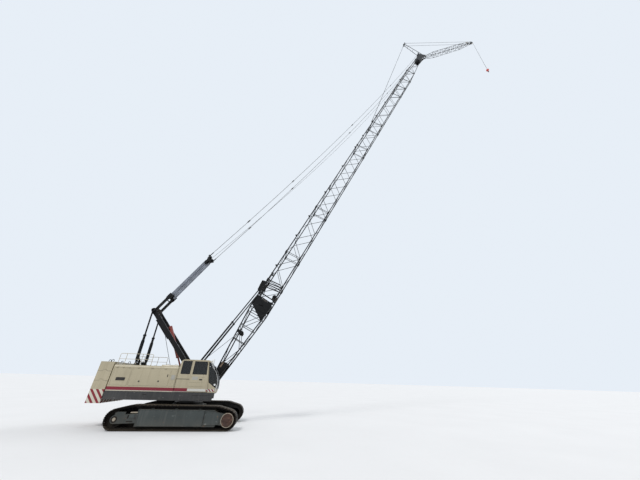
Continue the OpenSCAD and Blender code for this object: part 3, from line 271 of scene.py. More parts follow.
def weightPattern(place, maths, mixed, colour):
    x, y, z = place
    inset = maths("SUBTRACT", barPaint["side"], maths("ABSOLUTE", y))
    along = maths("SUBTRACT", x, inset)
    lean = maths("ADD", maths("ADD", along, barPaint["start"] - slewX), maths("MULTIPLY", z, barPaint["lean"]))
    wave = maths("FRACT", maths("DIVIDE", lean, barPaint["period"]))
    low = maths("LESS_THAN", z, barPaint["top"])
    colour = mixed(low, colour, barPaint["pale"])
    return mixed(maths("MULTIPLY", low, maths("LESS_THAN", wave, barPaint["share"])), colour, barPaint["red"])


cream, creamStreak = (0.410, 0.360, 0.248), (0.26, 0.215, 0.14)
looks = {  # colours in linear light, scales per metre, heights in metres
    "houseCream": {"colour": cream, "vary": 0.06, "rough": 0.42, "streak": creamStreak, "streakAmount": 0.30,
                   "chip": (0.20, 0.12, 0.07), "chipEdge": 0.71, "pattern": housePattern, "bump": 0.12,
                   "dust": (0.38, 0.32, 0.22), "dustHeights": (1.0, 1.5), "dustAmount": 0.3},
    "weightCream": {"colour": cream, "vary": 0.08, "rough": 0.55, "streak": creamStreak, "streakAmount": 0.38,
                    "chip": (0.19, 0.11, 0.06), "chipEdge": 0.69, "pattern": weightPattern, "bump": 0.35,
                    "grainScale": 45},
    "panelGrey": {"colour": (0.36, 0.35, 0.31), "vary": 0.06, "rough": 0.5, "streak": (0.22, 0.20, 0.16)},
    # near-black for the guard plates: a painted shade where the floor would show under the track's upper run
    "guardShadeDark": {"colour": (0.010, 0.0095, 0.009), "vary": 0.3, "rough": 0.8, "shine": 0.2,
                  "dust": (0.05, 0.04, 0.03), "dustHeights": (0.0, 0.5), "dustAmount": 0.5},
    "deckGrey": {"colour": (0.022, 0.0225, 0.0245), "vary": 0.14, "rough": 0.5, "streak": (0.075, 0.07, 0.065),
                 "chip": (0.20, 0.19, 0.18), "chipEdge": 0.69, "scratch": (0.36, 0.35, 0.34),
                 "scratchAmount": 0.45, "dust": (0.11, 0.10, 0.085), "dustHeights": (0.6, 1.1),
                 "dustAmount": 0.35, "topDustAndLight": (0.20, 0.18, 0.15), "topDustAndLightAmount": 0.5},
    "frameGrey": {"colour": (0.027, 0.033, 0.032), "vary": 0.25, "rough": 0.6, "streak": (0.075, 0.06, 0.045),
                  "chip": (0.10, 0.055, 0.03), "chipEdge": 0.64, "dust": (0.10, 0.088, 0.068),
                  "dustHeights": (0.0, 0.55), "dustAmount": 0.45, "topDustAndLight": (0.30, 0.26, 0.20),
                  "topDustAndLightAmount": 0.6, "shine": 0.35},
    "coverTeal": {"colour": (0.033, 0.041, 0.039), "vary": 0.15, "rough": 0.5, "streak": (0.10, 0.10, 0.09),
                  "streakAmount": 0.35, "chip": (0.13, 0.065, 0.03), "chipEdge": 0.69,
                  "scratch": (0.32, 0.33, 0.31), "scratchStretch": (5, 40, 9), "dust": (0.10, 0.09, 0.07),
                  "dustHeights": (0.0, 0.35), "dustAmount": 0.5, "topDustAndLight": (0.30, 0.28, 0.22)},
    "trackIron": {"colour": (0.007, 0.0055, 0.0043), "vary": 0.4, "patchScale": 5, "rough": 0.75,
                  "shine": 0.2, "streak": (0.035, 0.022, 0.014), "chip": (0.10, 0.085, 0.07), "chipScale": 22,
                  "chipEdge": 0.68, "bump": 0.6, "bumpDepth": 0.004, "grainScale": 60,
                  "dust": (0.035, 0.028, 0.020), "dustHeights": (0.0, 0.4), "dustAmount": 0.5,
                  "topDustAndLight": (0.15, 0.12, 0.085), "topDustAndLightAmount": 0.6},
    "rust": {"colour": (0.045, 0.019, 0.011), "vary": 0.3, "patchScale": 9, "rough": 0.8,
             "streak": (0.05, 0.025, 0.018), "chip": (0.20, 0.10, 0.055), "chipEdge": 0.62, "bump": 0.5},
    "rimPale": {"colour": (0.30, 0.26, 0.20), "vary": 0.2, "rough": 0.6, "chip": (0.12, 0.065, 0.04),
                "chipEdge": 0.6},
    "boomBlack": {"colour": (0.0035, 0.0037, 0.0042), "vary": 0.3, "rough": 0.4,
                  "streak": (0.014, 0.013, 0.012), "streakAmount": 0.3, "shine": 0.2,
                  "chip": (0.05, 0.03, 0.02), "chipEdge": 0.69, "bump": 0.2},
    "redBrown": {"colour": (0.215, 0.040, 0.030), "vary": 0.2, "rough": 0.5, "chip": (0.02, 0.02, 0.02),
                 "chipEdge": 0.64},
    "ropeSteel": {"colour": (0.036, 0.034, 0.032), "vary": 0.3, "patchScale": 4, "rough": 0.5, "metal": 0.5,
                  "bump": 0.8, "grainScale": 120, "grainStretch": (1, 1, 0.25)},
    # the same steel rope as ropeSteel, made pale: a painted sheen for the falls
    "ropeSheenBright": {"colour": (0.30, 0.32, 0.36), "vary": 0.2, "patchScale": 4, "rough": 0.4, "metal": 0.6,
                   "bump": 0.6, "grainScale": 120, "grainStretch": (1, 1, 0.25)},
    "sheaveIron": {"colour": (0.060, 0.052, 0.045), "vary": 0.3, "patchScale": 8, "rough": 0.5,
                   "metal": 0.5, "chip": (0.13, 0.07, 0.04), "bump": 0.4},
    "sheaveNylon": {"colour": (0.58, 0.56, 0.50), "vary": 0.08, "patchScale": 6, "rough": 0.45,
                    "streak": (0.20, 0.18, 0.15), "streakStretch": (9, 9, 9), "bump": 0.15},
    "rubber": {"colour": (0.012, 0.012, 0.013), "vary": 0.2, "rough": 0.75, "bump": 0.3},
    "seatCloth": {"colour": (0.030, 0.031, 0.034), "vary": 0.15, "rough": 0.9, "bump": 0.6,
                  "grainScale": 300},
    "railCream": {"colour": (0.44, 0.39, 0.28), "vary": 0.12, "rough": 0.5, "chip": (0.17, 0.10, 0.06),
                  "chipEdge": 0.64},
    "engineGrey": {"colour": (0.11, 0.12, 0.11), "vary": 0.2, "rough": 0.6, "streak": (0.04, 0.035, 0.03)},
    "ballPink": {"colour": (0.56, 0.075, 0.062), "vary": 0.12, "patchScale": 6, "rough": 0.38, "coat": 0.3,
                 "chip": (0.14, 0.07, 0.06), "chipScale": 30, "chipEdge": 0.68},
    "hookRed": {"colour": (0.105, 0.016, 0.014), "vary": 0.2, "patchScale": 9, "rough": 0.5,
                "chip": (0.06, 0.05, 0.045), "chipScale": 40, "chipEdge": 0.6},
    "postSilver": {"colour": (0.50, 0.50, 0.48), "vary": 0.08, "rough": 0.35, "metal": 0.35,
                   "streak": (0.25, 0.23, 0.19)},
    "lampWhite": {"colour": (0.74, 0.75, 0.74), "vary": 0.05, "rough": 0.2, "coat": 0.5},
    "plateTan": {"colour": (0.17, 0.115, 0.07), "vary": 0.1, "rough": 0.5, "streak": (0.16, 0.10, 0.06)},
    # dark seams, handles and latches, and the painted shade in the vent, the slots, the holes and the gaps
    "darkSlot": {"colour": (0.020, 0.018, 0.017), "vary": 0.2, "rough": 0.7},
}
materials = {name: makeMaterial(name, look) for name, look in looks.items()}


def makeGlass(name):
    material = bpy.data.materials.new(name)
    material.use_nodes = True
    tree = material.node_tree
    shader = tree.nodes["Principled BSDF"]
    shader.inputs["Base Color"].default_value = (0.045, 0.05, 0.05, 1)
    shader.inputs["Transmission Weight"].default_value = 0.85
    shader.inputs["IOR"].default_value = 1.45
    shader.inputs["Specular IOR Level"].default_value = 0.35
    dirt = tree.nodes.new("ShaderNodeTexNoise")
    dirt.inputs["Scale"].default_value = 7
    dirt.inputs["Detail"].default_value = 6
    coord = tree.nodes.new("ShaderNodeTexCoord")
    tree.links.new(coord.outputs["Object"], dirt.inputs["Vector"])
    ramp = tree.nodes.new("ShaderNodeMapRange")
    for key, number in (("From Min", 0.4), ("From Max", 0.8), ("To Min", 0.02), ("To Max", 0.12)):
        ramp.inputs[key].default_value = number
    tree.links.new(dirt.outputs["Fac"], ramp.inputs["Value"])
    tree.links.new(ramp.outputs["Result"], shader.inputs["Roughness"])
    return material


materials["cabGlass"] = makeGlass("cabGlass")
nodeFinish = {  # the nodes not named here are the boom's black steel
    "carbody": "frameGrey", "slew_ring": "trackIron", "side_frames": "frameGrey", "side_covers": "coverTeal",
    "track_right": "trackIron", "track_left": "trackIron", "drive_wheels": "rust",
    "idler_wheels": "trackIron", "track_rollers": "trackIron",
    "revolving_frame": "deckGrey", "house": "houseCream", "engine": "engineGrey",
    "counterweight_lower": "weightCream", "counterweight_middle": "weightCream",
    "counterweight_upper": "weightCream", "hoist_drums": "sheaveIron", "handrails": "railCream",
    "cab_shell": "houseCream", "cab_glass": "cabGlass", "cab_seat": "seatCloth",
    "cab_door": "houseCream", "door_glass": "cabGlass", "gantry_sheaves": "sheaveIron",
    "boom_sheaves": "sheaveNylon", "tip_sheave": "sheaveNylon", "base_winch": "sheaveIron",
    "pendants": "ropeSteel", "jib_front_stays": "ropeSteel", "jib_back_stays": "ropeSteel",
    "hoist_line": "ropeSteel", "hook_ball": "ballPink", "hook": "hookRed",
}
for name, thing in nodes.items():
    thing.data.materials.clear()
    thing.data.materials.append(materials[nodeFinish.get(name, "boomBlack")])
print("materials made:", len(materials))


# Mesh helpers: most add to a bmesh, and a few give an outline in the side plane
def stitch(bm, rings, closed=False):
    pairs = zip(rings, rings[1:] + (rings[:1] if closed else []))
    for first, second in pairs:
        for k in range(len(first)):
            j = (k + 1) % len(first)
            bm.faces.new((first[k], first[j], second[j], second[k]))


def capped(bm, rings):
    stitch(bm, rings)
    bm.faces.new(rings[0][::-1])
    bm.faces.new(rings[-1])


def tube(bm, p, q, r, sides=12, r2=None):
    p, q = Vector(p), Vector(q)
    turn = (q - p).to_track_quat("Z", "Y").to_matrix()
    rings = []
    for centre, radius in ((p, r), (q, r if r2 is None else r2)):
        ring = []
        for i in range(sides):
            a = 2 * math.pi * (i + 0.5) / sides
            ring.append(bm.verts.new(centre + turn @ Vector((math.cos(a), math.sin(a), 0)) * radius * mm))
        rings.append(ring)
    capped(bm, rings)


def bentTube(bm, points, r, sides=10):
    points = [Vector(p) for p in points]
    rings, side = [], None
    for i, p in enumerate(points):
        before, after = points[max(i - 1, 0)], points[min(i + 1, len(points) - 1)]
        direction = (after - before).normalized()
        if side is None:
            side = direction.orthogonal().normalized()
        side = (side - direction * side.dot(direction)).normalized()
        other = direction.cross(side)
        rings.append([bm.verts.new(p + (side * math.cos(a) + other * math.sin(a)) * r * mm)
                      for a in (2 * math.pi * k / sides for k in range(sides))])
    capped(bm, rings)


def block(bm, low, high, place=flat):
    corners = []
    for z in (low[2], high[2]):
        for y in (low[1], high[1]):
            for x in (low[0], high[0]):
                corners.append(bm.verts.new(place(x, y, z)))
    for f in ((0, 2, 3, 1), (4, 5, 7, 6), (0, 1, 5, 4), (2, 6, 7, 3), (0, 4, 6, 2), (1, 3, 7, 5)):
        bm.faces.new([corners[i] for i in f])


def plate(bm, outline, y0, y1, place=flat):
    near = [bm.verts.new(place(x, y0, z)) for x, z in outline]
    far = [bm.verts.new(place(x, y1, z)) for x, z in outline]
    capped(bm, [near, far])


def turnedRings(bm, profile, centre, axis, sides):
    axis = Vector(axis).normalized()
    side = axis.orthogonal().normalized()
    other = axis.cross(side)
    rings = []
    for r, along in profile:
        ring = []
        for k in range(sides):
            a = 2 * math.pi * k / sides
            out = side * math.cos(a) + other * math.sin(a)
            ring.append(bm.verts.new(centre + axis * along * mm + out * max(r, 0.05) * mm))
        rings.append(ring)
    return rings


def lathe(bm, profile, centre, axis, sides=32):
    capped(bm, turnedRings(bm, profile, centre, axis, sides))


def collar(bm, centre, axis, r, bore, size):  # a ring round a tube, open in the middle
    profile = [(bore, 0), (r * 0.88, 0), (r, 6), (r, size - 6), (r * 0.88, size), (bore, size)]
    stitch(bm, turnedRings(bm, profile, centre, axis, 24), closed=True)


def bolt(bm, centre, axis, r=9, height=8):
    lathe(bm, [(r * 1.5, 0), (r * 1.5, 2), (r, 2), (r, height - 2), (r * 0.8, height)], centre, axis, 6)


def shrunk(outline, inset):  # the outline moved inwards by inset
    turn = sum(p[0] * q[1] - q[0] * p[1] for p, q in zip(outline, outline[1:] + outline[:1]))
    turn = 1 if turn > 0 else -1
    result = []
    for i, p in enumerate(outline):
        before, after = outline[i - 1], outline[(i + 1) % len(outline)]
        a = Vector((p[0] - before[0], p[1] - before[1])).normalized()
        b = Vector((after[0] - p[0], after[1] - p[1])).normalized()
        normal = Vector((-a.y - b.y, a.x + b.x)) * turn
        move = normal * (inset / (1 + a.dot(b)))
        result.append((p[0] + move.x, p[1] + move.y))
    return result


def box(x0, x1, z0, z1):
    return [(x0, z0), (x1, z0), (x1, z1), (x0, z1)]


def rounded(x0, x1, z0, z1, r, steps=5):
    points = []
    left, right, low, high = x0 + r, x1 - r, z0 + r, z1 - r
    for cx, cz, start in ((right, high, 0), (left, high, 90), (left, low, 180), (right, low, 270)):
        for k in range(steps):
            a = math.radians(start + 90 * k / (steps - 1))
            points.append((cx + r * math.cos(a), cz + r * math.sin(a)))
    return points


def arc(centre, r, a0, a1, steps):
    angles = (math.radians(a0 + (a1 - a0) * k / steps) for k in range(steps + 1))
    return [(centre[0] + r * math.cos(a), centre[1] + r * math.sin(a)) for a in angles]


def circle(centre, r, count=48):
    return arc(centre, r, 0, 360 - 360 / count, count - 1)


def hoop(bm, outline, outer, inner, y0, y1, place=flat):  # a frame that follows an outline
    rings = []
    for inset, y in ((outer, y0), (outer, y1), (inner, y1), (inner, y0)):
        rings.append([bm.verts.new(place(x, y, z)) for x, z in shrunk(outline, inset)])
    stitch(bm, rings, closed=True)


def raisedPanel(bm, outline, face, sign, rise=5, border=26):
    rings = []
    for inset, up in ((0, 0), (3, rise), (border, rise), (border + 6, rise * 0.4), (border + 8, rise * 0.4)):
        rings.append([bm.verts.new(spot(x, sign * (face + up), z)) for x, z in shrunk(outline, inset)])
    stitch(bm, rings)
    bm.faces.new(rings[-1])


def boltedEdge(bm, outline, inset, spacing, y, sign, r=7, height=7):
    corners = shrunk(outline, inset)
    for p, q in zip(corners, corners[1:] + corners[:1]):
        count = max(1, round(distance(p, q) / spacing))
        for i in range(count):
            t = i / count
            centre = spot(p[0] + (q[0] - p[0]) * t, sign * y, p[1] + (q[1] - p[1]) * t)
            bolt(bm, centre, (0, sign, 0), r, height)


def makePiece(name, body, finish, build, bevel=0, sharp=38):
    bm = bmesh.new()
    build(bm)
    bmesh.ops.recalc_face_normals(bm, faces=bm.faces)
    mesh = bpy.data.meshes.new(name)
    bm.to_mesh(mesh)
    bm.free()
    mesh.shade_smooth()
    mesh.set_sharp_from_angle(angle=math.radians(sharp))
    thing = bpy.data.objects.new(name, mesh)
    bpy.context.scene.collection.objects.link(thing)
    mesh.materials.append(materials[finish])
    if bevel:
        edge = thing.modifiers.new("edge", "BEVEL")
        edge.width, edge.segments = bevel * mm, 2
        edge.limit_method, edge.angle_limit = "ANGLE", math.radians(40)
        edge.harden_normals = True
    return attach(thing, body) if body else thing


def makePair(name, body, finish, build, bevel=0):
    for sign, side in ((-1, "Right"), (1, "Left")):
        makePiece(name + side, body, finish, lambda bm: build(bm, sign), bevel)


# Tracks: shoes with two ribs each on a chain of links and pins, in place of the plain CAD loops
track = {
    "front": (1600, 290), "frontRadius": 290, "rear": (-1695, 285), "rearRadius": 285,
    "crestFront": (1270, 670), "crestRear": (-1320, 670),
    "gauge": 2200, "width": 450, "shoes": 76, "gap": 12, "groove": 9, "plate": 28, "link": 73,
}


def trackLine():
    front, rear = track["front"], track["rear"]
    crestFront, crestRear = track["crestFront"], track["crestRear"]
    wrapFront = math.degrees(math.acos(track["frontRadius"] / distance(front, crestFront)))
    wrapRear = math.degrees(math.acos(track["rearRadius"] / distance(rear, crestRear)))
    points = arc(front, track["frontRadius"], -90, angleTo(front, crestFront) - wrapFront, 18)
    points += [crestFront, crestRear]
    return points + arc(rear, track["rearRadius"], angleTo(rear, crestRear) + wrapRear, 270, 18)


def buildTrack(bm, sign):
    points = trackLine()
    loop = points + [points[0]]
    steps = [distance(p, q) for p, q in zip(loop, loop[1:])]
    pitch = sum(steps) / track["shoes"]

    def at(s):
        s %= sum(steps)
        for p, q, n in zip(loop, loop[1:], steps):
            if s <= n:
                return (p[0] + (q[0] - p[0]) * s / n, p[1] + (q[1] - p[1]) * s / n)
            s -= n
        return loop[0]

    half = track["width"] / 2
    deep, groove, gap = track["plate"], track["groove"], track["gap"] / 2
    for i in range(track["shoes"]):
        p, q = at(i * pitch), at((i + 1) * pitch)
        shoe = placer(p, angleTo(p, q))
        length = distance(p, q)
        middle = sign * track["gauge"] / 2
        shift = middle + random.uniform(-1.5, 1.5)
        a, b = gap, length - gap
        profile = [(a, deep), (a, groove), (a + 5, 1), (a + 0.30 * length, 1), (a + 0.36 * length, groove),
                   (b - 0.36 * length, groove), (b - 0.30 * length, 1), (b - 5, 1), (b, groove), (b, deep)]
        rings = []
        centre = (a + b) / 2
        for y, size in ((-half + 1.5, 0.8), (-half + 10, 1), (half - 10, 1), (half - 1.5, 0.8)):
            squeeze = 0.94 if size < 1 else 1
            section = [(centre + (s - centre) * squeeze, deep - (deep - h) * size) for s, h in profile]
            rings.append([bm.verts.new(shoe(s, shift + y, h)) for s, h in section])
        capped(bm, rings)
        inner = track["link"]
        for y in (-78, 78):  # links under the shoe, with a pin at each joint
            outline = [(-6, 42), (0, 58), (14, inner), (length - 14, inner), (length, 58), (length + 6, 42),
                       (length - 8, deep - 2), (8, deep - 2)]
            plate(bm, outline, middle + y - 17, middle + y + 17, shoe)
        tube(bm, shoe(0, middle - 112, 50), shoe(0, middle + 112, 50), 14, 8)
        for y in (middle - 150, middle + 150):  # lugs cast on the inside of the shoe
            block(bm, (0.25 * length, y - 14, deep - 2), (0.75 * length, y + 14, deep + 14), shoe)


for sign, name, node in ((-1, "trackShoesRight", "track_right"), (1, "trackShoesLeft", "track_left")):
    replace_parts(makePiece(name, "undercarriage", "trackIron", lambda bm: buildTrack(bm, sign)), node)


def trackGuardShade(bm, sign):  # plate on the inner side of the frame, inside the chain, near-black as a painted shade under the upper run
    side = sign * (track["gauge"] / 2 - 190)
    plate(bm, shrunk(trackLine(), track["plate"] + 6), side, side + sign * 6)
    for y in (1012, 1178):  # rails that the upper run slides on
        plate(bm, [(-1080, 548), (1100, 548), (1180, 586), (-1220, 586)], sign * y, sign * (y + 10))


makePair("trackGuardShade", "undercarriage", "guardShadeDark", trackGuardShade)
print("tracks built")

# Side covers: pressed edges, bolts, the final drive's cap and the idler's tensioner
covers = {
    "large": [(-1035, 125), (860, 125), (875, 548), (-1090, 548)], "largeFace": 1302,
    "small": [(885, 155), (1350, 170), (1350, 484), (895, 533)], "smallFace": 1296,
    "edge": 12, "rise": 7, "spacing": 165,
}
drive = {"centre": (1600, 290), "face": 1304, "rimFace": 1312, "rimInner": 179, "rimOuter": 194,
         "bolts": 14, "boltCircle": 138}
idler = {
    "centre": (-1695, 285), "face": 1290, "greaseCover": [(-1294, 1262, 462), (-1092, 1262, 468)],
    "rod": [(-1345, 1100, 285), (-1320, 1100, 285)], "hole": (-1118, 318), "ring": (84, 34),
    "hose": [(-1090, 1262, 405), (-1150, 1266, 392), (-1230, 1262, 380), (-1300, 1225, 340),
             (-1330, 1150, 310)],
    "gaps": [(-1345, -1312, 312, 402), (-1345, -1165, 226, 252)], "box": (-1288, -1150, 330, 428),
}


def coverEdges(bm, sign):
    for outline, face in ((covers["large"], covers["largeFace"]), (covers["small"], covers["smallFace"])):
        hoop(bm, outline, 3, 3 + covers["edge"], sign * (face - 1), sign * (face + covers["rise"]))


def coverBolts(bm, sign):
    for outline, face in ((covers["large"], covers["largeFace"]), (covers["small"], covers["smallFace"])):
        boltedEdge(bm, outline, 30, covers["spacing"], face, sign)
    for i in range(drive["bolts"]):
        a = 2 * math.pi * i / drive["bolts"]
        x = drive["centre"][0] + drive["boltCircle"] * math.cos(a)
        z = drive["centre"][1] + drive["boltCircle"] * math.sin(a)
        bolt(bm, spot(x, sign * (drive["face"] + 4), z), (0, sign, 0), 8, 8)


def driveCap(bm, sign):
    profile = [(170, 0), (168, 5), (120, 9), (112, 4), (64, 6), (54, 14), (22, 16), (1, 16)]
    lathe(bm, profile, spot(drive["centre"][0], sign * drive["face"], drive["centre"][1]), (0, sign, 0), 48)


def driveRim(bm, sign):
    face, outer = drive["rimFace"], drive["rimOuter"]
    outline = circle(drive["centre"], outer)
    hoop(bm, outline, 0, outer - drive["rimInner"], sign * (face - 1), sign * (face + 2.5))


def idlerTrim(bm, sign):  # hub, cover of the grease line, tensioner's rod and its hose
    x, z = idler["centre"]
    hub = [(46, 0), (45, 6), (30, 9), (26, 5), (1, 5)]
    lathe(bm, hub, spot(x, sign * idler["face"], z), (0, sign, 0), 32)
    tube(bm, *places(idler["greaseCover"], sign), 17, 16)
    tube(bm, *places(idler["rod"], sign), 68, 24)
    bentTube(bm, places(idler["hose"], sign), 8)


# a dark disc with a rim: painted shade that stands for the hole in the frame
def frameHoleShade(bm, sign):
    x, z = idler["hole"]
    profile = [(30, 0), (30, 2.5), (22, 3), (20, 0.8), (1, 0.8)]
    lathe(bm, profile, spot(x, sign * idler["face"], z), (0, sign, 0), 24)


def forkGapShadeAndRing(bm, sign):  # dark patches beside the tensioner, a painted shade that stands for the gaps, and a dark ring round the idler's pin
    face = idler["face"]
    for gap in idler["gaps"]:
        plate(bm, rounded(*gap, 6), sign * (face - 1), sign * (face + 1.5))
    outer, wide = idler["ring"]
    hoop(bm, circle(idler["centre"], outer), 0, wide, sign * (face - 1), sign * (face + 3))


def forkBox(bm, sign):
    x0, x1, z0, z1 = idler["box"]
    face = idler["face"]
    plate(bm, rounded(x0, x1, z0, z1, 8), sign * (face - 2), sign * (face + 7))
    for x in (x0 + 16, x1 - 16):
        for z in (z0 + 16, z1 - 16):
            bolt(bm, spot(x, sign * (face + 7), z), (0, sign, 0), 7, 6)


makePair("forkGapShadeAndRing", "undercarriage", "trackIron", forkGapShadeAndRing)
makePair("forkBox", "undercarriage", "coverTeal", forkBox, bevel=2)
makePair("coverEdge", "undercarriage", "coverTeal", coverEdges, bevel=1.5)
makePair("coverBolts", "undercarriage", "frameGrey", coverBolts)
makePair("driveCap", "undercarriage", "rust", driveCap)
makePair("driveRim", "undercarriage", "rimPale", driveRim)
makePair("tensionerTrim", "undercarriage", "rimPale", idlerTrim)
makePair("frameHoleShade", "undercarriage", "darkSlot", frameHoleShade)


ring = {"bolts": 44, "radius": 489, "top": 640, "frameBolts": (-440, -300, 300, 440), "frame": (560, 560)}


def slewingBolts(bm):
    for i in range(ring["bolts"]):
        a = 2 * math.pi * i / ring["bolts"]
        place = spot(ring["radius"] * math.cos(a), ring["radius"] * math.sin(a), ring["top"])
        bolt(bm, place, (0, 0, 1), 7, 20)
    y, z = ring["frame"]
    for side in (-1, 1):
        for x in ring["frameBolts"]:
            bolt(bm, spot(x, side * y, z), (0, side, 0), 12, 12)


makePiece("slewingBolts", "undercarriage", "frameGrey", slewingBolts)
print("undercarriage dressed")

# House: door panels, vent, latches, hinges and what stands on the roof
house = {
    "side": 800, "roof": 1780, "seam": -412,
    "doors": [(-2440, -1890), (-1869, -625), (-605, -420)], "doorHeights": (1165, 1695),
    "vent": (-2283, -2015, 1313, 1391), "handle": (-695, 1483), "latches": [(-1557, 1292), (-948, 1307)],
    "patch": (-566, -446, 1368, 1508), "rearBox": (-2476, -2285, 700, 1820),
    "hatch": [(-1008, -738), (-722, -452)], "hatchTop": 1810, "ribs": (-2200, -1960, -1720, -1480, -1240),
    "exhaust": (-2200, 250), "intake": (-1850, -160),
}


def housePanels(bm, sign):
    z0, z1 = house["doorHeights"]
    for x0, x1 in house["doors"]:
        raisedPanel(bm, rounded(x0 + 7, x1 - 7, z0 + 7, z1 - 7, 20), house["side"] - 0.5, sign, 3.5, 12)
    for x0, x1 in house["doors"][:2]:  # hinges along the upper edge
        for share in (0.15, 0.5, 0.85):
            x = x0 + (x1 - x0) * share
            tube(bm, spot(x - 32, sign * 804, z1 + 5), spot(x + 32, sign * 804, z1 + 5), 7, 10)
            block(bm, (x - 30, sign * 800 - 3, z1 - 26), (x + 30, sign * 800 + 3, z1 + 4))


# dark plate behind the slats: a painted shade in the vent's opening
def ventGapShade(bm, sign):
    x0, x1, z0, z1 = house["vent"]
    plate(bm, rounded(x0 + 1, x1 - 1, z0 + 1, z1 - 1, 8), sign * 803, sign * 804.2)


def ventSlats(bm, sign):
    x0, x1, z0, z1 = house["vent"]
    for i in range(5):
        z = z0 + (z1 - z0) * (i + 0.5) / 5
        plate(bm, box(x0 + 2, x1 - 2, z - 4, z - 1), sign * 804, sign * 807)
    hoop(bm, rounded(x0, x1, z0, z1, 8), -7, 1, sign * 803, sign * 808)


def houseLatches(bm, sign):
    x, z = house["handle"]
    plate(bm, rounded(x - 12, x + 12, z - 42, z + 42, 8), sign * 799, sign * 803)
    grip = [(x, 802, z - 32), (x, 812, z - 28), (x, 812, z + 28), (x, 802, z + 32)]
    bentTube(bm, places(grip, sign), 5, 8)
    latch = [(26, 0), (26, 3), (21, 4.5), (19, 1.5), (1, 1.5)]
    for x, z in house["latches"]:
        lathe(bm, latch, spot(x, sign * 799.5, z), (0, sign, 0), 24)
    x = house["seam"]
    plate(bm, box(x - 2, x + 2, 1150, 1770), sign * 798, sign * 800.6)


def jointStrip(bm, sign):  # the two sides have their strips at different places
    if sign < 0:
        block(bm, (-403, -765, 1008), (-372, -768.5, 1764))
    else:
        plate(bm, rounded(353, 372, 1200, 1700, 8), 797, 800.5)


makePair("housePanels", "upper", "houseCream", housePanels)
makePair("ventGapShade", "upper", "darkSlot", ventGapShade)
makePair("ventSlats", "upper", "sheaveIron", ventSlats)
makePair("houseLatches", "upper", "darkSlot", houseLatches)
makePair("jointStrip", "upper", "houseCream", jointStrip)
makePiece("greyPatch", "upper", "panelGrey",
          lambda bm: plate(bm, rounded(*house["patch"], 8), -806, -802))


def roofPlates(bm):
    roof, top = house["roof"], house["hatchTop"]
    for x in house["ribs"]:
        block(bm, (x, -740, roof - 1), (x + 14, 740, roof + 8))
    for x0, x1 in house["hatch"]:
        lid = [(x0, top - 1), (x1, top - 1), (x1, top + 5), (x1 - 8, top + 9), (x0 + 8, top + 9), (x0, top + 5)]
        plate(bm, lid, -712, -438)
        middle = (x0 + x1) / 2
        grip = [(middle + dx, -575, top + up) for dx, up in ((-45, 8), (-42, 32), (42, 32), (45, 8))]
        bentTube(bm, places(grip), 6, 8)


# the raised box at the rear of the roof, in grey: a painted shade for its unlit look
def rearBox(bm):
    x0, x1, half, top = house["rearBox"]
    low = house["roof"] + 1
    outline = [(x0 - 1, low), (x1 + 1, low), (x1 + 1, top - 2), (x1 - 6, top + 2), (x0 + 6, top + 2),
               (x0 - 1, top - 2)]
    plate(bm, outline, -half - 1, half + 1)
    for y in (-420, -140, 140, 420):
        block(bm, (x0 + 12, y - 5, top), (x1 - 12, y + 5, top + 5))


def exhaust(bm):
    x, y = house["exhaust"]
    stack = [(60, 0), (62, 10), (44, 16), (44, 150), (48, 154), (48, 168), (40, 168), (40, 100), (1, 100)]
    lathe(bm, stack, spot(x, y, house["roof"]), (0, 0, 1), 24)
    bend = [(x - back, y, z) for back, z in ((0, 1930), (0, 1962), (8, 1990), (28, 2014), (62, 2026))]
    bentTube(bm, places(bend), 34, 20)
    cover = [(75, 0), (75, 60), (92, 64), (92, 104), (80, 118), (1, 122)]
    lathe(bm, cover, spot(*house["intake"], house["roof"]), (0, 0, 1), 28)


makePiece("roofPlates", "upper", "houseCream", roofPlates, bevel=2)
makePiece("rearBoxShadedSkin", "upper", "panelGrey", rearBox, bevel=2)
makePiece("exhaustAndIntake", "upper", "boomBlack", exhaust)
print("house dressed")

# Counterweight: lifting eyes on top, and the seams between the blocks
weight = {
    "side": 750, "eyes": [(-2680, 600, 1868, 1934), (-2860, 420, 1868, 1930)],
    "seams": (1290, 1575), "front": -2532, "rear": -2958, "key": (-2740, 65, 40, 40), "tail": 3051,
}


def weightEyes(bm):
    for x, side, low, high in weight["eyes"]:
        for y in (-side, side):
            loop = [spot(px, y, pz) for px, pz in arc((x, high - 34), 34, 0, 180, 9)]
            bentTube(bm, [spot(x + 34, y, low - 8)] + loop + [spot(x - 34, y, low - 8)], 9, 8)
            for dx in (-34, 34):
                lathe(bm, [(18, -9), (18, -3), (12, -2)], spot(x + dx, y, low), (0, 0, 1), 12)


def seamLines(bm, sign):  # the joints between the blocks, with the key in the middle
    middle, wide, narrow, tall = weight["key"]
    side = weight["side"]
    for z in weight["seams"]:
        path = [(weight["front"], z), (middle + wide, z), (middle + narrow, z + tall),
                (middle - narrow, z + tall), (middle - wide, z), (weight["rear"], z)]
        upper, lower = [(x, h + 2.5) for x, h in path], [(x, h - 2.5) for x, h in path]
        plate(bm, upper + lower[::-1], sign * (side - 2), sign * (side + 1.2))


def tailSeams(bm):
    curve = arc((0, 0), weight["tail"], 166, 194, 28)
    for z in weight["seams"]:
        rings = []
        for up in (z - 2.5, z + 2.5):
            outer = [bm.verts.new(spot(x, y, up)) for x, y in curve]
            rings.append(outer + [bm.verts.new(spot(x * 0.999, y * 0.999, up)) for x, y in curve[::-1]])
        stitch(bm, rings)


makePiece("weightEyes", "upper", "boomBlack", weightEyes)
makePair("weightSeams", "upper", "darkSlot", seamLines)
makePiece("tailSeams", "upper", "darkSlot", tailSeams)

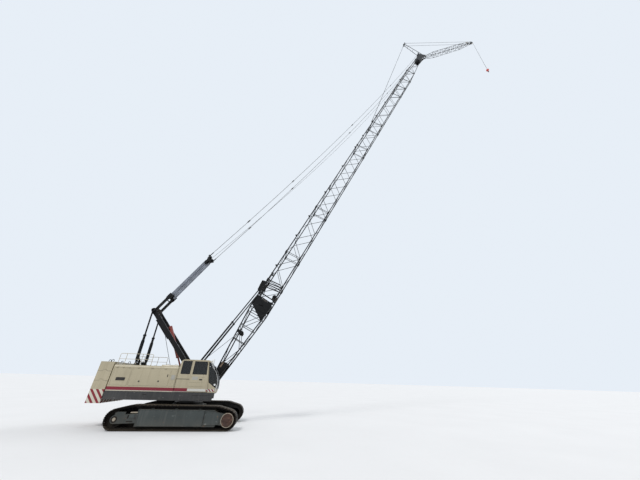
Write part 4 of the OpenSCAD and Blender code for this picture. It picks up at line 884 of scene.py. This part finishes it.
# Cab: rubber round the panes, silver post, seams, rails, lamps, mirror and levers
cab = {
    "side": 770, "inner": 376, "frontCentre": (182, 1225), "frontRadius": 818,
    "rearPane": (-300, -5, 1560, 1955), "innerPane": (105, 524, 1560, 1955),
    "quarter": [(590, 1940), (705, 1318)] + arc((182, 1225), 782, -5, 46, 10) + [(625, 1940)],
    "doorPane": [(108, 1560), (574, 1560), (530, 1955), (108, 1955)],
    "midRail": (-408, 39, 1390, 1404), "patch": (125, 316, 1384, 1481), "handle": (418, 1393),
    "lamp": (704, -700, 1905, 2068), "beacon": (918, 1247), "knob": (636, 1811),
    "seal": (-11, 5), "outerSeal": (-771.8, -764), "innerSeal": (-382, -374.2),
    "backPane": (1560, 1885, -690, -456),
}


def boxPane(key):
    return rounded(*cab[key], 14, 4)


def cabSeals(bm):
    for outline in (boxPane("rearPane"), cab["quarter"]):
        hoop(bm, outline, *cab["seal"], *cab["outerSeal"])
        hoop(bm, outline, *cab["seal"], *cab["innerSeal"])
    hoop(bm, boxPane("innerPane"), *cab["seal"], *cab["innerSeal"])
    rings = []
    for inset, x in ((-10, -377), (-10, -370), (5, -370), (5, -377)):  # pane in the rear wall
        rings.append([bm.verts.new(spot(x, y, z)) for z, y in shrunk(boxPane("backPane"), inset)])
    stitch(bm, rings, closed=True)


def cabPost(bm):
    outer = arc(cab["frontCentre"], 817, -12, 46, 20)
    inner = arc(cab["frontCentre"], 789, 46, -12, 20)
    plate(bm, outer + inner, -772.5, -768)
    plate(bm, outer + inner, -378, -374)


def cabDark(bm):
    x0, x1, z0, z1 = cab["midRail"]
    plate(bm, box(x0, x1, z0, z1), -774, -769)
    plate(bm, box(x0, x0 + 12, z0 - 30, z1 + 30), -774, -769)
    for z in (1035, 1398):  # seams of the outer skin
        plate(bm, box(-372, 40, z - 2, z + 2), -771.2, -769)


def doorHandle(bm):
    x, z = cab["handle"]
    grip = [(x - 42, -800, z), (x - 40, -820, z), (x + 40, -820, z), (x + 42, -800, z)]
    bentTube(bm, places(grip), 6, 10)
    plate(bm, rounded(x - 52, x + 52, z - 18, z + 18, 12), -803, -799)
    for z in (1180, 1300, 1470):  # pressed lines across the door's lower half
        plate(bm, box(60, 530, z - 1.5, z + 1.5), -800.8, -799)


def cabLamps(bm):
    x, y, low, high = cab["lamp"]
    tube(bm, spot(600, y, 1985), spot(x, y, low + 30), 10, 12)
    tall = high - low
    shade = [(20, 0), (38, 14), (39, tall - 22), (30, tall - 6), (1, tall)]
    lathe(bm, shade, spot(x, y, low), (0, 0, 1), 24)
    lathe(bm, [(16, 0), (30, 10), (32, 44), (26, 56), (1, 58)], spot(590, -430, 2008), (0.8, 0, 0.5), 24)
    x, z = cab["beacon"]
    lathe(bm, [(14, 0), (32, 8), (34, 20), (26, 30), (1, 32)], spot(x, -772, z), (0, -1, 0), 24)
    x, z = cab["knob"]
    lathe(bm, [(10, 0), (13, 6), (11, 14), (1, 16)], spot(x, -770, z), (0, -1, 0), 16)


def cabRails(bm):
    grip = [spot(x, -806, z) for x, z in arc(cab["frontCentre"], 800, 2, 34, 8)]
    bentTube(bm, [spot(980, -770, 1245)] + grip + [spot(845, -770, 1680)], 8, 10)
    bentTube(bm, [spot(742, -770, 1800), spot(790, -815, 1812), spot(842, -826, 1804)], 6, 8)
    plate(bm, rounded(822, 862, 1690, 1822, 14), -832, -820)
    wiper = [spot(x, -560, z) for x, z in arc(cab["frontCentre"], 826, 2, 30, 8)]
    bentTube(bm, wiper, 4, 8)
    blade = [spot(x, -566, z) for x, z in arc(cab["frontCentre"], 822, 16, 38, 8)]
    bentTube(bm, blade, 5, 8)
    for y in (-740, -410):  # bars across the front glass
        bentTube(bm, [spot(x, y, z) for x, z in arc(cab["frontCentre"], 824, -8, 46, 14)], 4, 8)


def controlLevers(bm):
    middle = -(cab["side"] + cab["inner"]) / 2
    knob = [(8, -4), (13, 4), (13, 18), (8, 24), (1, 26)]
    for y in (middle + dy for dy in (-110, -60, 60, 110)):
        stick = places([(700, y, 1425), (680, y, 1500), (672, y, 1545)])
        bentTube(bm, stick, 5, 8)
        lathe(bm, knob, stick[-1], (0, 0, 1), 12)


makePiece("cabSeals", "upper", "rubber", cabSeals)
makePiece("cabPost", "upper", "postSilver", cabPost)
makePiece("cabSeams", "upper", "darkSlot", cabDark)
makePiece("doorSeal", "door", "rubber", lambda bm: hoop(bm, cab["doorPane"], -11, 5, -801.8, -794))
makePiece("doorHandle", "door", "darkSlot", doorHandle)
makePiece("doorPatch", "door", "panelGrey",
          lambda bm: plate(bm, rounded(*cab["patch"], 6), -802.5, -799))
makePiece("cabLamps", "upper", "lampWhite", cabLamps)
makePiece("cabRails", "upper", "boomBlack", cabRails)
makePiece("controlLevers", "upper", "rubber", controlLevers)

# Seat pads: crowned cushions over the plain seat
seat = {"middle": -573, "half": 122, "cushion": (68, 352, 1262, 1312), "backLow": (72, 1300),
        "backHigh": (12, 1650), "backThick": 62}


def pad(bm, centre, along, across, thick):  # a cushion whose faces crown and whose sides pull in
    rings = []
    out = along.cross(across).normalized()
    for layer, size in ((-1, 0.86), (-0.72, 0.97), (0, 1.0), (0.72, 0.97), (1, 0.86)):
        ring = []
        for k in range(24):
            a = 2 * math.pi * (k + 0.5) / 24
            c, s = math.cos(a), math.sin(a)
            cx, cy = math.copysign(abs(c) ** 0.42, c), math.copysign(abs(s) ** 0.42, s)
            ring.append(bm.verts.new(centre + (along * cx + across * cy) * size + out * thick * layer))
        rings.append(ring)
    stitch(bm, rings)
    for ring, layer in ((rings[0], -1), (rings[-1], 1)):
        crown = []
        for vertex in ring:
            crown.append(bm.verts.new(centre + (vertex.co - centre) * 0.6 + out * thick * layer * 0.5))
        stitch(bm, [ring, crown])
        bm.faces.new(crown)


def seatCushion(bm):
    x0, x1, z0, z1 = seat["cushion"]
    centre = spot((x0 + x1) / 2, seat["middle"], (z0 + z1) / 2)
    pad(bm, centre, Vector(((x1 - x0) / 2 * mm, 0, 0)), Vector((0, seat["half"] * mm, 0)), (z1 - z0) / 2 * mm)


def seatBack(bm):
    low, high = (spot(x, seat["middle"], z) for x, z in (seat["backLow"], seat["backHigh"]))
    along = (high - low) / 2
    pad(bm, (low + high) / 2, along, Vector((0, (seat["half"] - 2) * mm, 0)), seat["backThick"] / 2 * mm)


for name, build in (("seatCushion", seatCushion), ("seatBack", seatBack)):
    piece = makePiece(name, "upper", "seatCloth", build, sharp=80)
    smooth = piece.modifiers.new("crown", "SUBSURF")
    smooth.levels = smooth.render_levels = 1
print("cab dressed")

# Deck: hand holds, bolts, steps and slots along the sills
deck = {"side": 800, "bolts": 985, "handHold": (-1322, -1186, 893, 937), "slot": (259, 826, 908, 926)}


def deckFittings(bm, sign):
    x0, x1, z0, z1 = deck["handHold"]
    hoop(bm, rounded(x0, x1, z0, z1, 20), -8, 3, sign * 798, sign * 803)
    for x in range(-2380, 500, 240):
        bolt(bm, spot(x, sign * deck["side"], deck["bolts"]), (0, sign, 0), 6, 6)
    for x in (470, 560):
        grip = [(x - 30, 796, 812), (x - 30, 830, 800), (x + 30, 830, 800), (x + 30, 796, 812)]
        bentTube(bm, places(grip, sign), 7, 8)


# dark plates in the slot along the sill and inside the hand hold: a painted shade in these recesses
def deckSlotShade(bm, sign):
    x0, x1, z0, z1 = deck["slot"]
    end = x1 if sign < 0 else 600
    face = deck["side"]
    plate(bm, box(x0, end, z0, z1), sign * (face - 2), sign * (face + 1.5))
    x0, x1, z0, z1 = deck["handHold"]
    plate(bm, rounded(x0 + 3, x1 - 3, z0 + 3, z1 - 3, 18), sign * (face - 2), sign * (face + 1))


def footPins(bm):
    x, z = lines["legFoot"]
    for side in (-1, 1):
        centre = spot(x, side * (lines["legSide"] + 22), z)
        lathe(bm, [(22, 0), (22, 8), (16, 11), (1, 11)], centre, (0, side, 0), 20)


makePair("deckFittings", "upper", "deckGrey", deckFittings)
makePair("deckSlotShade", "upper", "darkSlot", deckSlotShade)
makePiece("footPins", "upper", "rimPale", footPins)


# Ropes on the drums: a helix in two layers
def woundRope(bm, centre, r, width, rope, turns, layers=2):
    points = []
    for layer in range(layers):
        for i in range(turns * 16 + 1):
            a = 2 * math.pi * i / 16
            share = i / (turns * 16)
            y = -width / 2 + width * (share if layer % 2 == 0 else 1 - share)
            radius = r + rope * (1 + 1.75 * layer)
            points.append(spot(centre[0] + radius * math.cos(a), y, centre[1] + radius * math.sin(a)))
    bentTube(bm, points, rope, 6)


drums = {"centres": [(-860, 1255), (-470, 1235)], "radius": 115, "width": 300, "rope": 8, "turns": 18}


def drumRopes(bm):
    for centre in drums["centres"]:
        woundRope(bm, centre, drums["radius"], drums["width"], drums["rope"], drums["turns"])


def hoistMotors(bm):
    for centre in drums["centres"]:
        for y in (-1, 1):
            for x, z in arc(centre, 150, 0, 315, 7):
                bolt(bm, spot(x, y * 191, z), (0, y, 0), 8, 8)
        profile = [(88, 0), (88, 34), (60, 40), (60, 74), (1, 78)]
        lathe(bm, profile, spot(centre[0], 205, centre[1]), (0, 1, 0), 28)


makePiece("drumRopes", "upper", "ropeSteel", drumRopes)
makePiece("hoistMotors", "upper", "engineGrey", hoistMotors)
print("hoists dressed")

# Handrails with round tube, feet and rounded ends in place of the plain bars
rail = {"y": 722, "low": 1780, "top": 2132, "middle": 1960, "posts": (-2440, -2235, -1720, -1370), "r": 8}


def roofRails(bm):
    low, top, r = rail["low"], rail["top"], rail["r"]
    first, last = rail["posts"][0], rail["posts"][-1]
    for y in (-rail["y"], rail["y"]):
        bend = [(0, low), (0, top - 40), (8, top - 14), (34, top - 2), (60, top)]
        path = [(first + x, z) for x, z in bend] + [(last - x, z) for x, z in reversed(bend)]
        bentTube(bm, [spot(x, y, z) for x, z in path], r, 12)
        for x in rail["posts"][1:-1]:
            tube(bm, spot(x, y, low), spot(x, y, top), r, 12)
        tube(bm, spot(first, y, rail["middle"]), spot(last, y, rail["middle"]), r * 0.8, 10)
        for x in rail["posts"]:
            lathe(bm, [(20, 0), (20, 5), (12, 7), (12, 22)], spot(x, y, low), (0, 0, 1), 16)


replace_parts(makePiece("roofRails", "upper", "railCream", roofRails), "handrails")

# Gantry: stiffeners, caps on the head shaft, the climbing bar behind the right leg
gantry = {"side": 300, "stiffeners": (620, 1250, 2080, 2960), "ladder": (2158, 3074), "rung": 115}


def gantryTrim(bm):
    for sign in (-1, 1):
        y = sign * gantry["side"]
        for s in gantry["stiffeners"]:
            block(bm, (s, y - 34, -84), (s + 16, y + 34, 84), onGantry)
        cap = [(70, 0), (70, 10), (52, 14), (52, 24), (1, 26)]
        lathe(bm, cap, onGantry(gantryLength, sign * 330, 0), (0, sign, 0), 28)
        for i in range(6):
            a = math.radians(60 * i)
            centre = onGantry(gantryLength + 60 * math.cos(a), sign * 339, 60 * math.sin(a))
            bolt(bm, centre, (0, sign, 0), 6, 6)
        lathe(bm, [(44, 0), (44, 10), (30, 14), (1, 15)], onGantry(0, sign * 331, 0), (0, sign, 0), 24)


def climbingBar(bm):
    low, high = gantry["ladder"]
    y = -gantry["side"]
    for edge in (-24, 14):
        block(bm, (low, y + edge, 90), (high, y + edge + 10, 116), onGantry)
    s = low + 30
    while s < high:
        block(bm, (s, y - 26, 96), (s + 14, y + 26, 110), onGantry)
        s += gantry["rung"]
    for s in (low + 40, high - 54):  # feet on the leg
        block(bm, (s, y - 8, 78), (s + 20, y + 8, 96), onGantry)


makePiece("gantryTrim", "gantry", "boomBlack", gantryTrim, bevel=2)


def legCollars(bm):
    foot, side = lines["legFoot"], lines["legSide"]
    onLeg = placer(foot, angleTo(foot, head))
    axis = onLeg(1, 0, 0) - onLeg(0, 0, 0)
    for y in (-side, side):
        for s, r, size in ((120, 56, 640), (760, 52, 30), (925, 54, 62)):
            collar(bm, onLeg(s, y, 0), axis, r, 41, size)


makePiece("legCollars", "leg_tubes", "boomBlack", legCollars)
makePiece("climbingBar", "gantry", "boomBlack", climbingBar)
spreader = {"plates": (222, 240), "head": 85, "waist": 60, "depth": 88, "sheaves": (-88, -44, 0, 44, 88),
            "sheave": 105}


def grooved(half, bottom):  # a sheave's profile, from the one side of its rim and the bottom of its groove
    return half + [(bottom, 0)] + [(r, -along) for r, along in reversed(half)]


def spreaderStraps(bm):
    end, waist, depth = lines["bail"], spreader["waist"], spreader["depth"]
    outline = arc((0, 0), spreader["head"], 40, 320, 18)
    outline += [(150, -waist), (590, -waist), (650, -depth), (850, -depth), (850, depth), (650, depth),
                (590, waist), (150, waist)]
    near, far = spreader["plates"]
    for side in (-1, 1):
        plate(bm, outline, side * near, side * far, onLine)
        lathe(bm, [(44, 0), (44, 10), (30, 14), (1, 15)], onLine(end, side * far, 0), (0, side, 0), 24)
    for s, h, r in ((end, 0, 34), (560, 0, 22), (840, 66, 14), (840, -66, 14)):
        tube(bm, onLine(s, -near, h), onLine(s, near, h), r, 14)
    r = spreader["sheave"]
    profile = grooved([(30, -14), (36, -9), (84, -7), (r, -14), (r, -9)], r - 10)
    for y in spreader["sheaves"]:
        lathe(bm, profile, onLine(end, y, 0), (0, 1, 0), 36)


straps = makePiece("spreaderStraps", "lower_spreader", "boomBlack", spreaderStraps, bevel=2)
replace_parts(straps, "lower_spreader")
print("gantry dressed")


# Backstops: collars on the tubes
def stopCollars(bm):
    for sign in (-1, 1):
        y = sign * lines["stopSide"]
        for s, r, size in ((2588, 46, 62), (180, 42, 36), (1400, 39, 24)):
            collar(bm, onStop(s, y, 0), onStop(1, 0, 0) - onStop(0, 0, 0), r, 33, size)


makePiece("stopCollars", "stop_tubes", "boomBlack", stopCollars)

# Boom: the backstops' brackets, pins at each joint of the sections, and what hangs in the base section
boom = {
    "joints": [4750, 6400, 9600, 15700, 18750, 24850, 27900], "half": 375,
    "ties": [2034, 2612, 3188], "guide": (2330, 125, 95), "roller": (4225, -300, 118),
    "gusset": [(3490, 352), (3560, 300), (3650, -290), (3610, -352), (3120, -352), (3085, -300)],
    "beams": [((4712, -350), (4620, 350)), ((4810, -250), (4767, 350)), ((4054, -350), (4100, 340))],
    "bracket": [(4050, 352), (4150, 470), (4190, 548), (4270, 548), (4420, 575), (4635, 590), (4690, 352)],
    "rollers": [5540, 7450, 8850, 10820, 13310, 15430, 16850, 19610, 21730, 25900],
    "tan": (940, 1140, 25, 85),
}


def stopBrackets(bm):
    for y0, y1 in ((268, 279), (-279, -268)):
        plate(bm, boom["bracket"], y0, y1, onBoom)
    for s, y, h in ((4080, 362, 375), (4640, 362, 375), (4610, 275, 540)):
        tube(bm, onBoom(s, -y, h), onBoom(s, y, h), 20, 14)


def baseHalf(s):  # half width and half height of the base section
    t = min(1, (s - 90) / 3310)
    return 290 + 73 * t, 45 + 330 * t


def sectionPins(bm):
    for s in boom["joints"]:
        for sy in (-boom["half"], boom["half"]):
            for sz in (-boom["half"], boom["half"]):
                centre = onBoom(s, sy, sz)
                for side in (-1, 1):
                    lathe(bm, [(24, 30), (24, 44), (18, 46), (18, 50), (1, 51)], centre, (0, side, 0), 14)
                for middle in (s - 44, s + 44):
                    lug = rounded(middle - 24, middle + 24, sz - 26, sz + 26, 10, 3)
                    plate(bm, lug, sy - 41, sy + 41, onBoom)


def baseTies(bm):
    for s in boom["ties"]:
        y, h = baseHalf(s)
        for side in (-y, y):
            tube(bm, onBoom(s, side, -h), onBoom(s, side, h), 13, 10)
        for up in (-h, h):
            tube(bm, onBoom(s, -y, up), onBoom(s, y, up), 13, 10)
    s, h, _ = boom["guide"]
    y = baseHalf(s)[0]
    tube(bm, onBoom(s, -y, h), onBoom(s, y, h), 20, 14)
    for side in (-1, 1):
        plate(bm, rounded(s - 60, s + 60, h - 60, h + 160, 20), side * (y - 8), side * (y + 2), onBoom)
        plate(bm, rounded(s - 60, s + 60, h - 60, h + 110, 30), side * 22, side * 30, onBoom)


def winchFrames(bm):  # gusset and beams that carry the winch and the rope roller
    plate(bm, boom["gusset"], -352, -362, onBoom)
    for side in (-1, 1):
        for low, high in boom["beams"]:
            tube(bm, onBoom(low[0], side * 357, low[1]), onBoom(high[0], side * 357, high[1]), 24, 10)
    s, h, r = boom["roller"]
    tube(bm, onBoom(s, -366, h), onBoom(s, 366, h), 26, 14)
    cheek = arc((s, h), r - 24, -30, 210, 12) + [(s - 170, -372), (s + 150, -372)]
    for y in (-300, 288):
        plate(bm, cheek, y, y + 12, onBoom)


def guideSheave(bm, place, s, h, r, half):
    rim = [(r * 0.3, -half), (r * 0.34, -half * 0.7), (r * 0.8, -half * 0.55), (r, -half), (r, -half * 0.7)]
    lathe(bm, grooved(rim, r - 12), place(s, 0, h), (0, 1, 0), 40)


def chordRollers(bm):
    y, h = -boom["half"], boom["half"]
    for s in boom["rollers"]:
        cheek = [(s - 46, h + 12), (s + 46, h + 12), (s + 20, h + 74), (s - 20, h + 74)]
        for side in (y - 26, y + 18):
            plate(bm, cheek, side, side + 8, onBoom)
        lathe(bm, [(20, -24), (26, -20), (26, 20), (20, 24)], onBoom(s, y, h + 62), (0, 1, 0), 16)


makePiece("stopBrackets", "boom", "boomBlack", stopBrackets, bevel=2)
makePiece("sectionPins", "boom", "boomBlack", sectionPins)
makePiece("baseTies", "boom", "boomBlack", baseTies)
makePiece("winchFrames", "boom", "boomBlack", winchFrames)
makePiece("ropeRoller", "boom", "sheaveIron", lambda bm: guideSheave(bm, onBoom, *boom["roller"], 36))
makePiece("baseGuide", "boom", "sheaveIron", lambda bm: guideSheave(bm, onBoom, *boom["guide"], 20))
makePiece("chordRollers", "boom", "boomBlack", chordRollers)
makePiece("basePatch", "boom", "plateTan",
          lambda bm: plate(bm, rounded(*boom["tan"], 8), -319.5, -316, onBoom))

# Ropes: falls between the spreaders, from the drums to gantry and boom, and along the boom to the jib's tip
ropes = {
    "r": 8, "jibGuide": (8720, 241, 148), "slack": 735,
    "falls": [(-105, (-88, -44, 0, 44, 88)), (-38, (-66, -22, 22, 66))],
    "winch": [(3750, 146), (5200, 440), (18000, 440), (31500, 350), (32380, 172), (32500, 176)],
    "main": [(2330, 218), (5200, 440), (18000, 440), (31500, 350), (32420, 172), (32560, 172)],
    "tip": [(9330, 158), (9450, 148)],
}
fallLow, fallHigh = lines["bail"], lines["spreader"] - 180


def spreaderFalls(bm):
    steps = [fallLow + (fallHigh - fallLow) * i / 8 for i in range(9)]
    for low, sides in ropes["falls"]:
        for y in sides:
            for h in (low, -low):
                bentTube(bm, [onLine(s, y, h) for s in steps], 10, 8)


def tangentRope(p, rp, q, rq, y, side, count=24):  # a straight rope between two round things
    a = math.radians(angleTo(p, q) + 90 * side)
    start = (p[0] + rp * math.cos(a), p[1] + rp * math.sin(a))
    end = (q[0] + rq * math.cos(a), q[1] + rq * math.sin(a))
    dx, dz = end[0] - start[0], end[1] - start[1]
    return [spot(start[0] + dx * i / count, y, start[1] + dz * i / count) for i in range(count + 1)]


def blended(name, points):
    piece = makePiece(name, None, "ropeSteel", lambda bm: bentTube(bm, points, ropes["r"], 8))
    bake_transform(piece)


# the falls between the spreaders in the pale rope, a painted sheen
falls = makePiece("spreaderFalls", None, "ropeSheenBright", spreaderFalls)
tuple(onLine(fallLow, 0, 0))
tuple(onLine(fallHigh, 0, 0))
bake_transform(falls)
arm = {"foot": (-415, 1330), "top": (-1462, 3262), "side": 238, "low": 30, "high": 64,
       "bracket": [(-520, 1005), (-330, 1005), (-380, 1350), (-450, 1350)]}
armEnds = [spot(x, arm["side"], z) for x, z in (arm["foot"], arm["top"])]


def raisingArm(bm):
    low, high = armEnds
    split = low.lerp(high, 0.42)
    for i in range(8):
        tube(bm, low.lerp(split, i / 8), low.lerp(split, (i + 1) / 8), arm["low"], 20)
        tube(bm, split.lerp(high, i / 8), split.lerp(high, (i + 1) / 8), arm["high"], 20)
    lathe(bm, [(arm["high"] + 6, -20), (arm["high"] + 6, 24)], split, high - low, 20)


armPiece = makePiece("raisingArm", None, "redBrown", raisingArm)
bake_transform(armPiece)
makePiece("armFoot", "upper", "deckGrey",
          lambda bm: plate(bm, arm["bracket"], arm["side"] - 36, arm["side"] - 28))
guidePlace = turned(boomFoot, boomAngle, boom["guide"][:2])
drumReach, guideReach = drums["radius"] + drums["rope"] * 3, boom["guide"][2] - 4
firstDrum, secondDrum = drums["centres"]
blended("boomHoistRope", tangentRope(firstDrum, drumReach, head, 135, 22, -1))
blended("hoistRope", tangentRope(secondDrum, drumReach, guidePlace, guideReach, 0, 1))


def hoistLines(bm):
    for y in (-60, 60):
        bentTube(bm, [onBoom(s, y, h) for s, h in ropes["winch"]], 7, 8)
    s, h, r = ropes["jibGuide"]
    onSheave = [(s - 60, h + r - 10), (s + 20, h + r - 2), (s + 100, h + r - 34)]
    main = [onBoom(along, 0, up) for along, up in ropes["main"]]
    main += [onJib(along, 0, up) for along, up in [(2400, 330)] + onSheave + ropes["tip"]]
    bentTube(bm, main, 7, 8)
    start = turned(head, angleTo(head, pendantEnd), (lines["spreader"] + 60, 0))
    slack = sagging(start, pendantEnd, ropes["slack"], 32)
    bentTube(bm, [spot(x, 0, z) for x, z in slack], 6, 8)


def ropeGuides(bm):
    for s in (5200, 11600, 18000, 24400):
        for y in (-150, 150):
            plate(bm, [(s - 40, 360), (s + 40, 360), (s + 18, 462), (s - 18, 462)], y - 6, y + 6, onBoom)
        tube(bm, onBoom(s, -158, 418), onBoom(s, 158, 418), 16, 14)
        tube(bm, onBoom(s, -375, 372), onBoom(s, 375, 372), 16, 10)


def jibBracket(bm):
    s, h, _ = ropes["jibGuide"]
    for y in (-30, 24):
        plate(bm, [(s - 120, 78), (s + 120, 62), (s + 34, h + 26), (s - 34, h + 26)], y, y + 6, onJib)
    tube(bm, onJib(s, -38, h), onJib(s, 38, h), 18, 14)
    for ds in (-100, 100):
        tube(bm, onJib(s + ds, -100, 74), onJib(s + ds, 100, 74), 12, 10)


makePiece("hoistLines", "boom", "ropeSteel", hoistLines)
makePiece("ropeGuides", "boom", "boomBlack", ropeGuides, bevel=1)
makePiece("jibBracket", "boom", "boomBlack", jibBracket)
makePiece("jibGuide", "boom", "sheaveNylon", lambda bm: guideSheave(bm, onJib, *ropes["jibGuide"], 20))
makePiece("winchRope", "boom", "ropeSteel",
          lambda bm: woundRope(bm, turned(boomFoot, boomAngle, (3750, 0)), 130, 440, 8, 26))
print("boom dressed")


# Floor, light and camera
studio = {
    "floor": {"colour": (0.80, 0.795, 0.785), "vary": 0.015, "patchScale": 0.4, "rough": 0.85, "bump": 0.05,
              "grainScale": 30},
    "size": 600, "sky": (0.86, 0.90, 0.96, 1), "skyStrength": 0.72, "backdrop": (0.80, 0.86, 0.93, 1),
    "key": ((0.45, 0.75, -0.95), 1.5, 14), "fill": ((-0.7, -0.5, -0.6), 0.5, 30),
}
materials["floorPale"] = makeMaterial("floorPale", studio["floor"])


def floorPlate(bm):
    size = studio["size"]
    bm.faces.new([bm.verts.new((x, y, -0.0015)) for x, y in box(-size, size, -size, size)])


makePiece("floor", None, "floorPale", floorPlate)

world = bpy.data.worlds.new("studio")
bpy.context.scene.world = world
world.use_nodes = True
tree = world.node_tree
sky = tree.nodes["Background"]
sky.inputs["Color"].default_value = studio["sky"]
sky.inputs["Strength"].default_value = studio["skyStrength"]
backdrop = tree.nodes.new("ShaderNodeBackground")
backdrop.inputs["Color"].default_value = studio["backdrop"]
backdrop.inputs["Strength"].default_value = 1.0
path = tree.nodes.new("ShaderNodeLightPath")
seen = path.outputs["Is Camera Ray"]
for ray in ("Is Glossy Ray", "Is Transmission Ray"):
    either = tree.nodes.new("ShaderNodeMath")
    either.operation = "MAXIMUM"
    tree.links.new(seen, either.inputs[0])
    tree.links.new(path.outputs[ray], either.inputs[1])
    seen = either.outputs[0]
mix = tree.nodes.new("ShaderNodeMixShader")
tree.links.new(seen, mix.inputs["Fac"])
tree.links.new(sky.outputs["Background"], mix.inputs[1])
tree.links.new(backdrop.outputs["Background"], mix.inputs[2])
tree.links.new(mix.outputs["Shader"], tree.nodes["World Output"].inputs["Surface"])


def addSun(name, direction, energy, angle):
    lamp = bpy.data.lights.new(name, "SUN")
    lamp.energy, lamp.angle = energy, math.radians(angle)
    thing = bpy.data.objects.new(name, lamp)
    thing.rotation_mode = "QUATERNION"
    thing.rotation_quaternion = Vector(direction).to_track_quat("-Z", "Y")
    bpy.context.scene.collection.objects.link(thing)


addSun("keyLight", *studio["key"])
addSun("fillLight", *studio["fill"])

view = {"place": (-6.7336, -11.4730, 1.4406), "lens": 14.203, "heading": 81.15, "pitch": 29.277, "roll": 1.697}
camera = bpy.data.cameras.new("camera")
camera.lens, camera.sensor_width = view["lens"], 36
camera.clip_start, camera.clip_end = 0.1, 2000
eye = bpy.data.objects.new("camera", camera)
heading, pitch, roll = (math.radians(view[key]) for key in ("heading", "pitch", "roll"))
forward = Vector((math.cos(heading) * math.cos(pitch), math.sin(heading) * math.cos(pitch), math.sin(pitch)))
level = Vector((math.sin(heading), -math.cos(heading), 0))
right = level * math.cos(roll) + level.cross(forward) * math.sin(roll)
turn = Matrix((right, right.cross(forward), -forward)).transposed().to_4x4()
turn.translation = Vector(view["place"])
eye.matrix_world = turn
bpy.context.scene.collection.objects.link(eye)
bpy.context.scene.camera = eye
bpy.context.scene.view_settings.view_transform = "Standard"
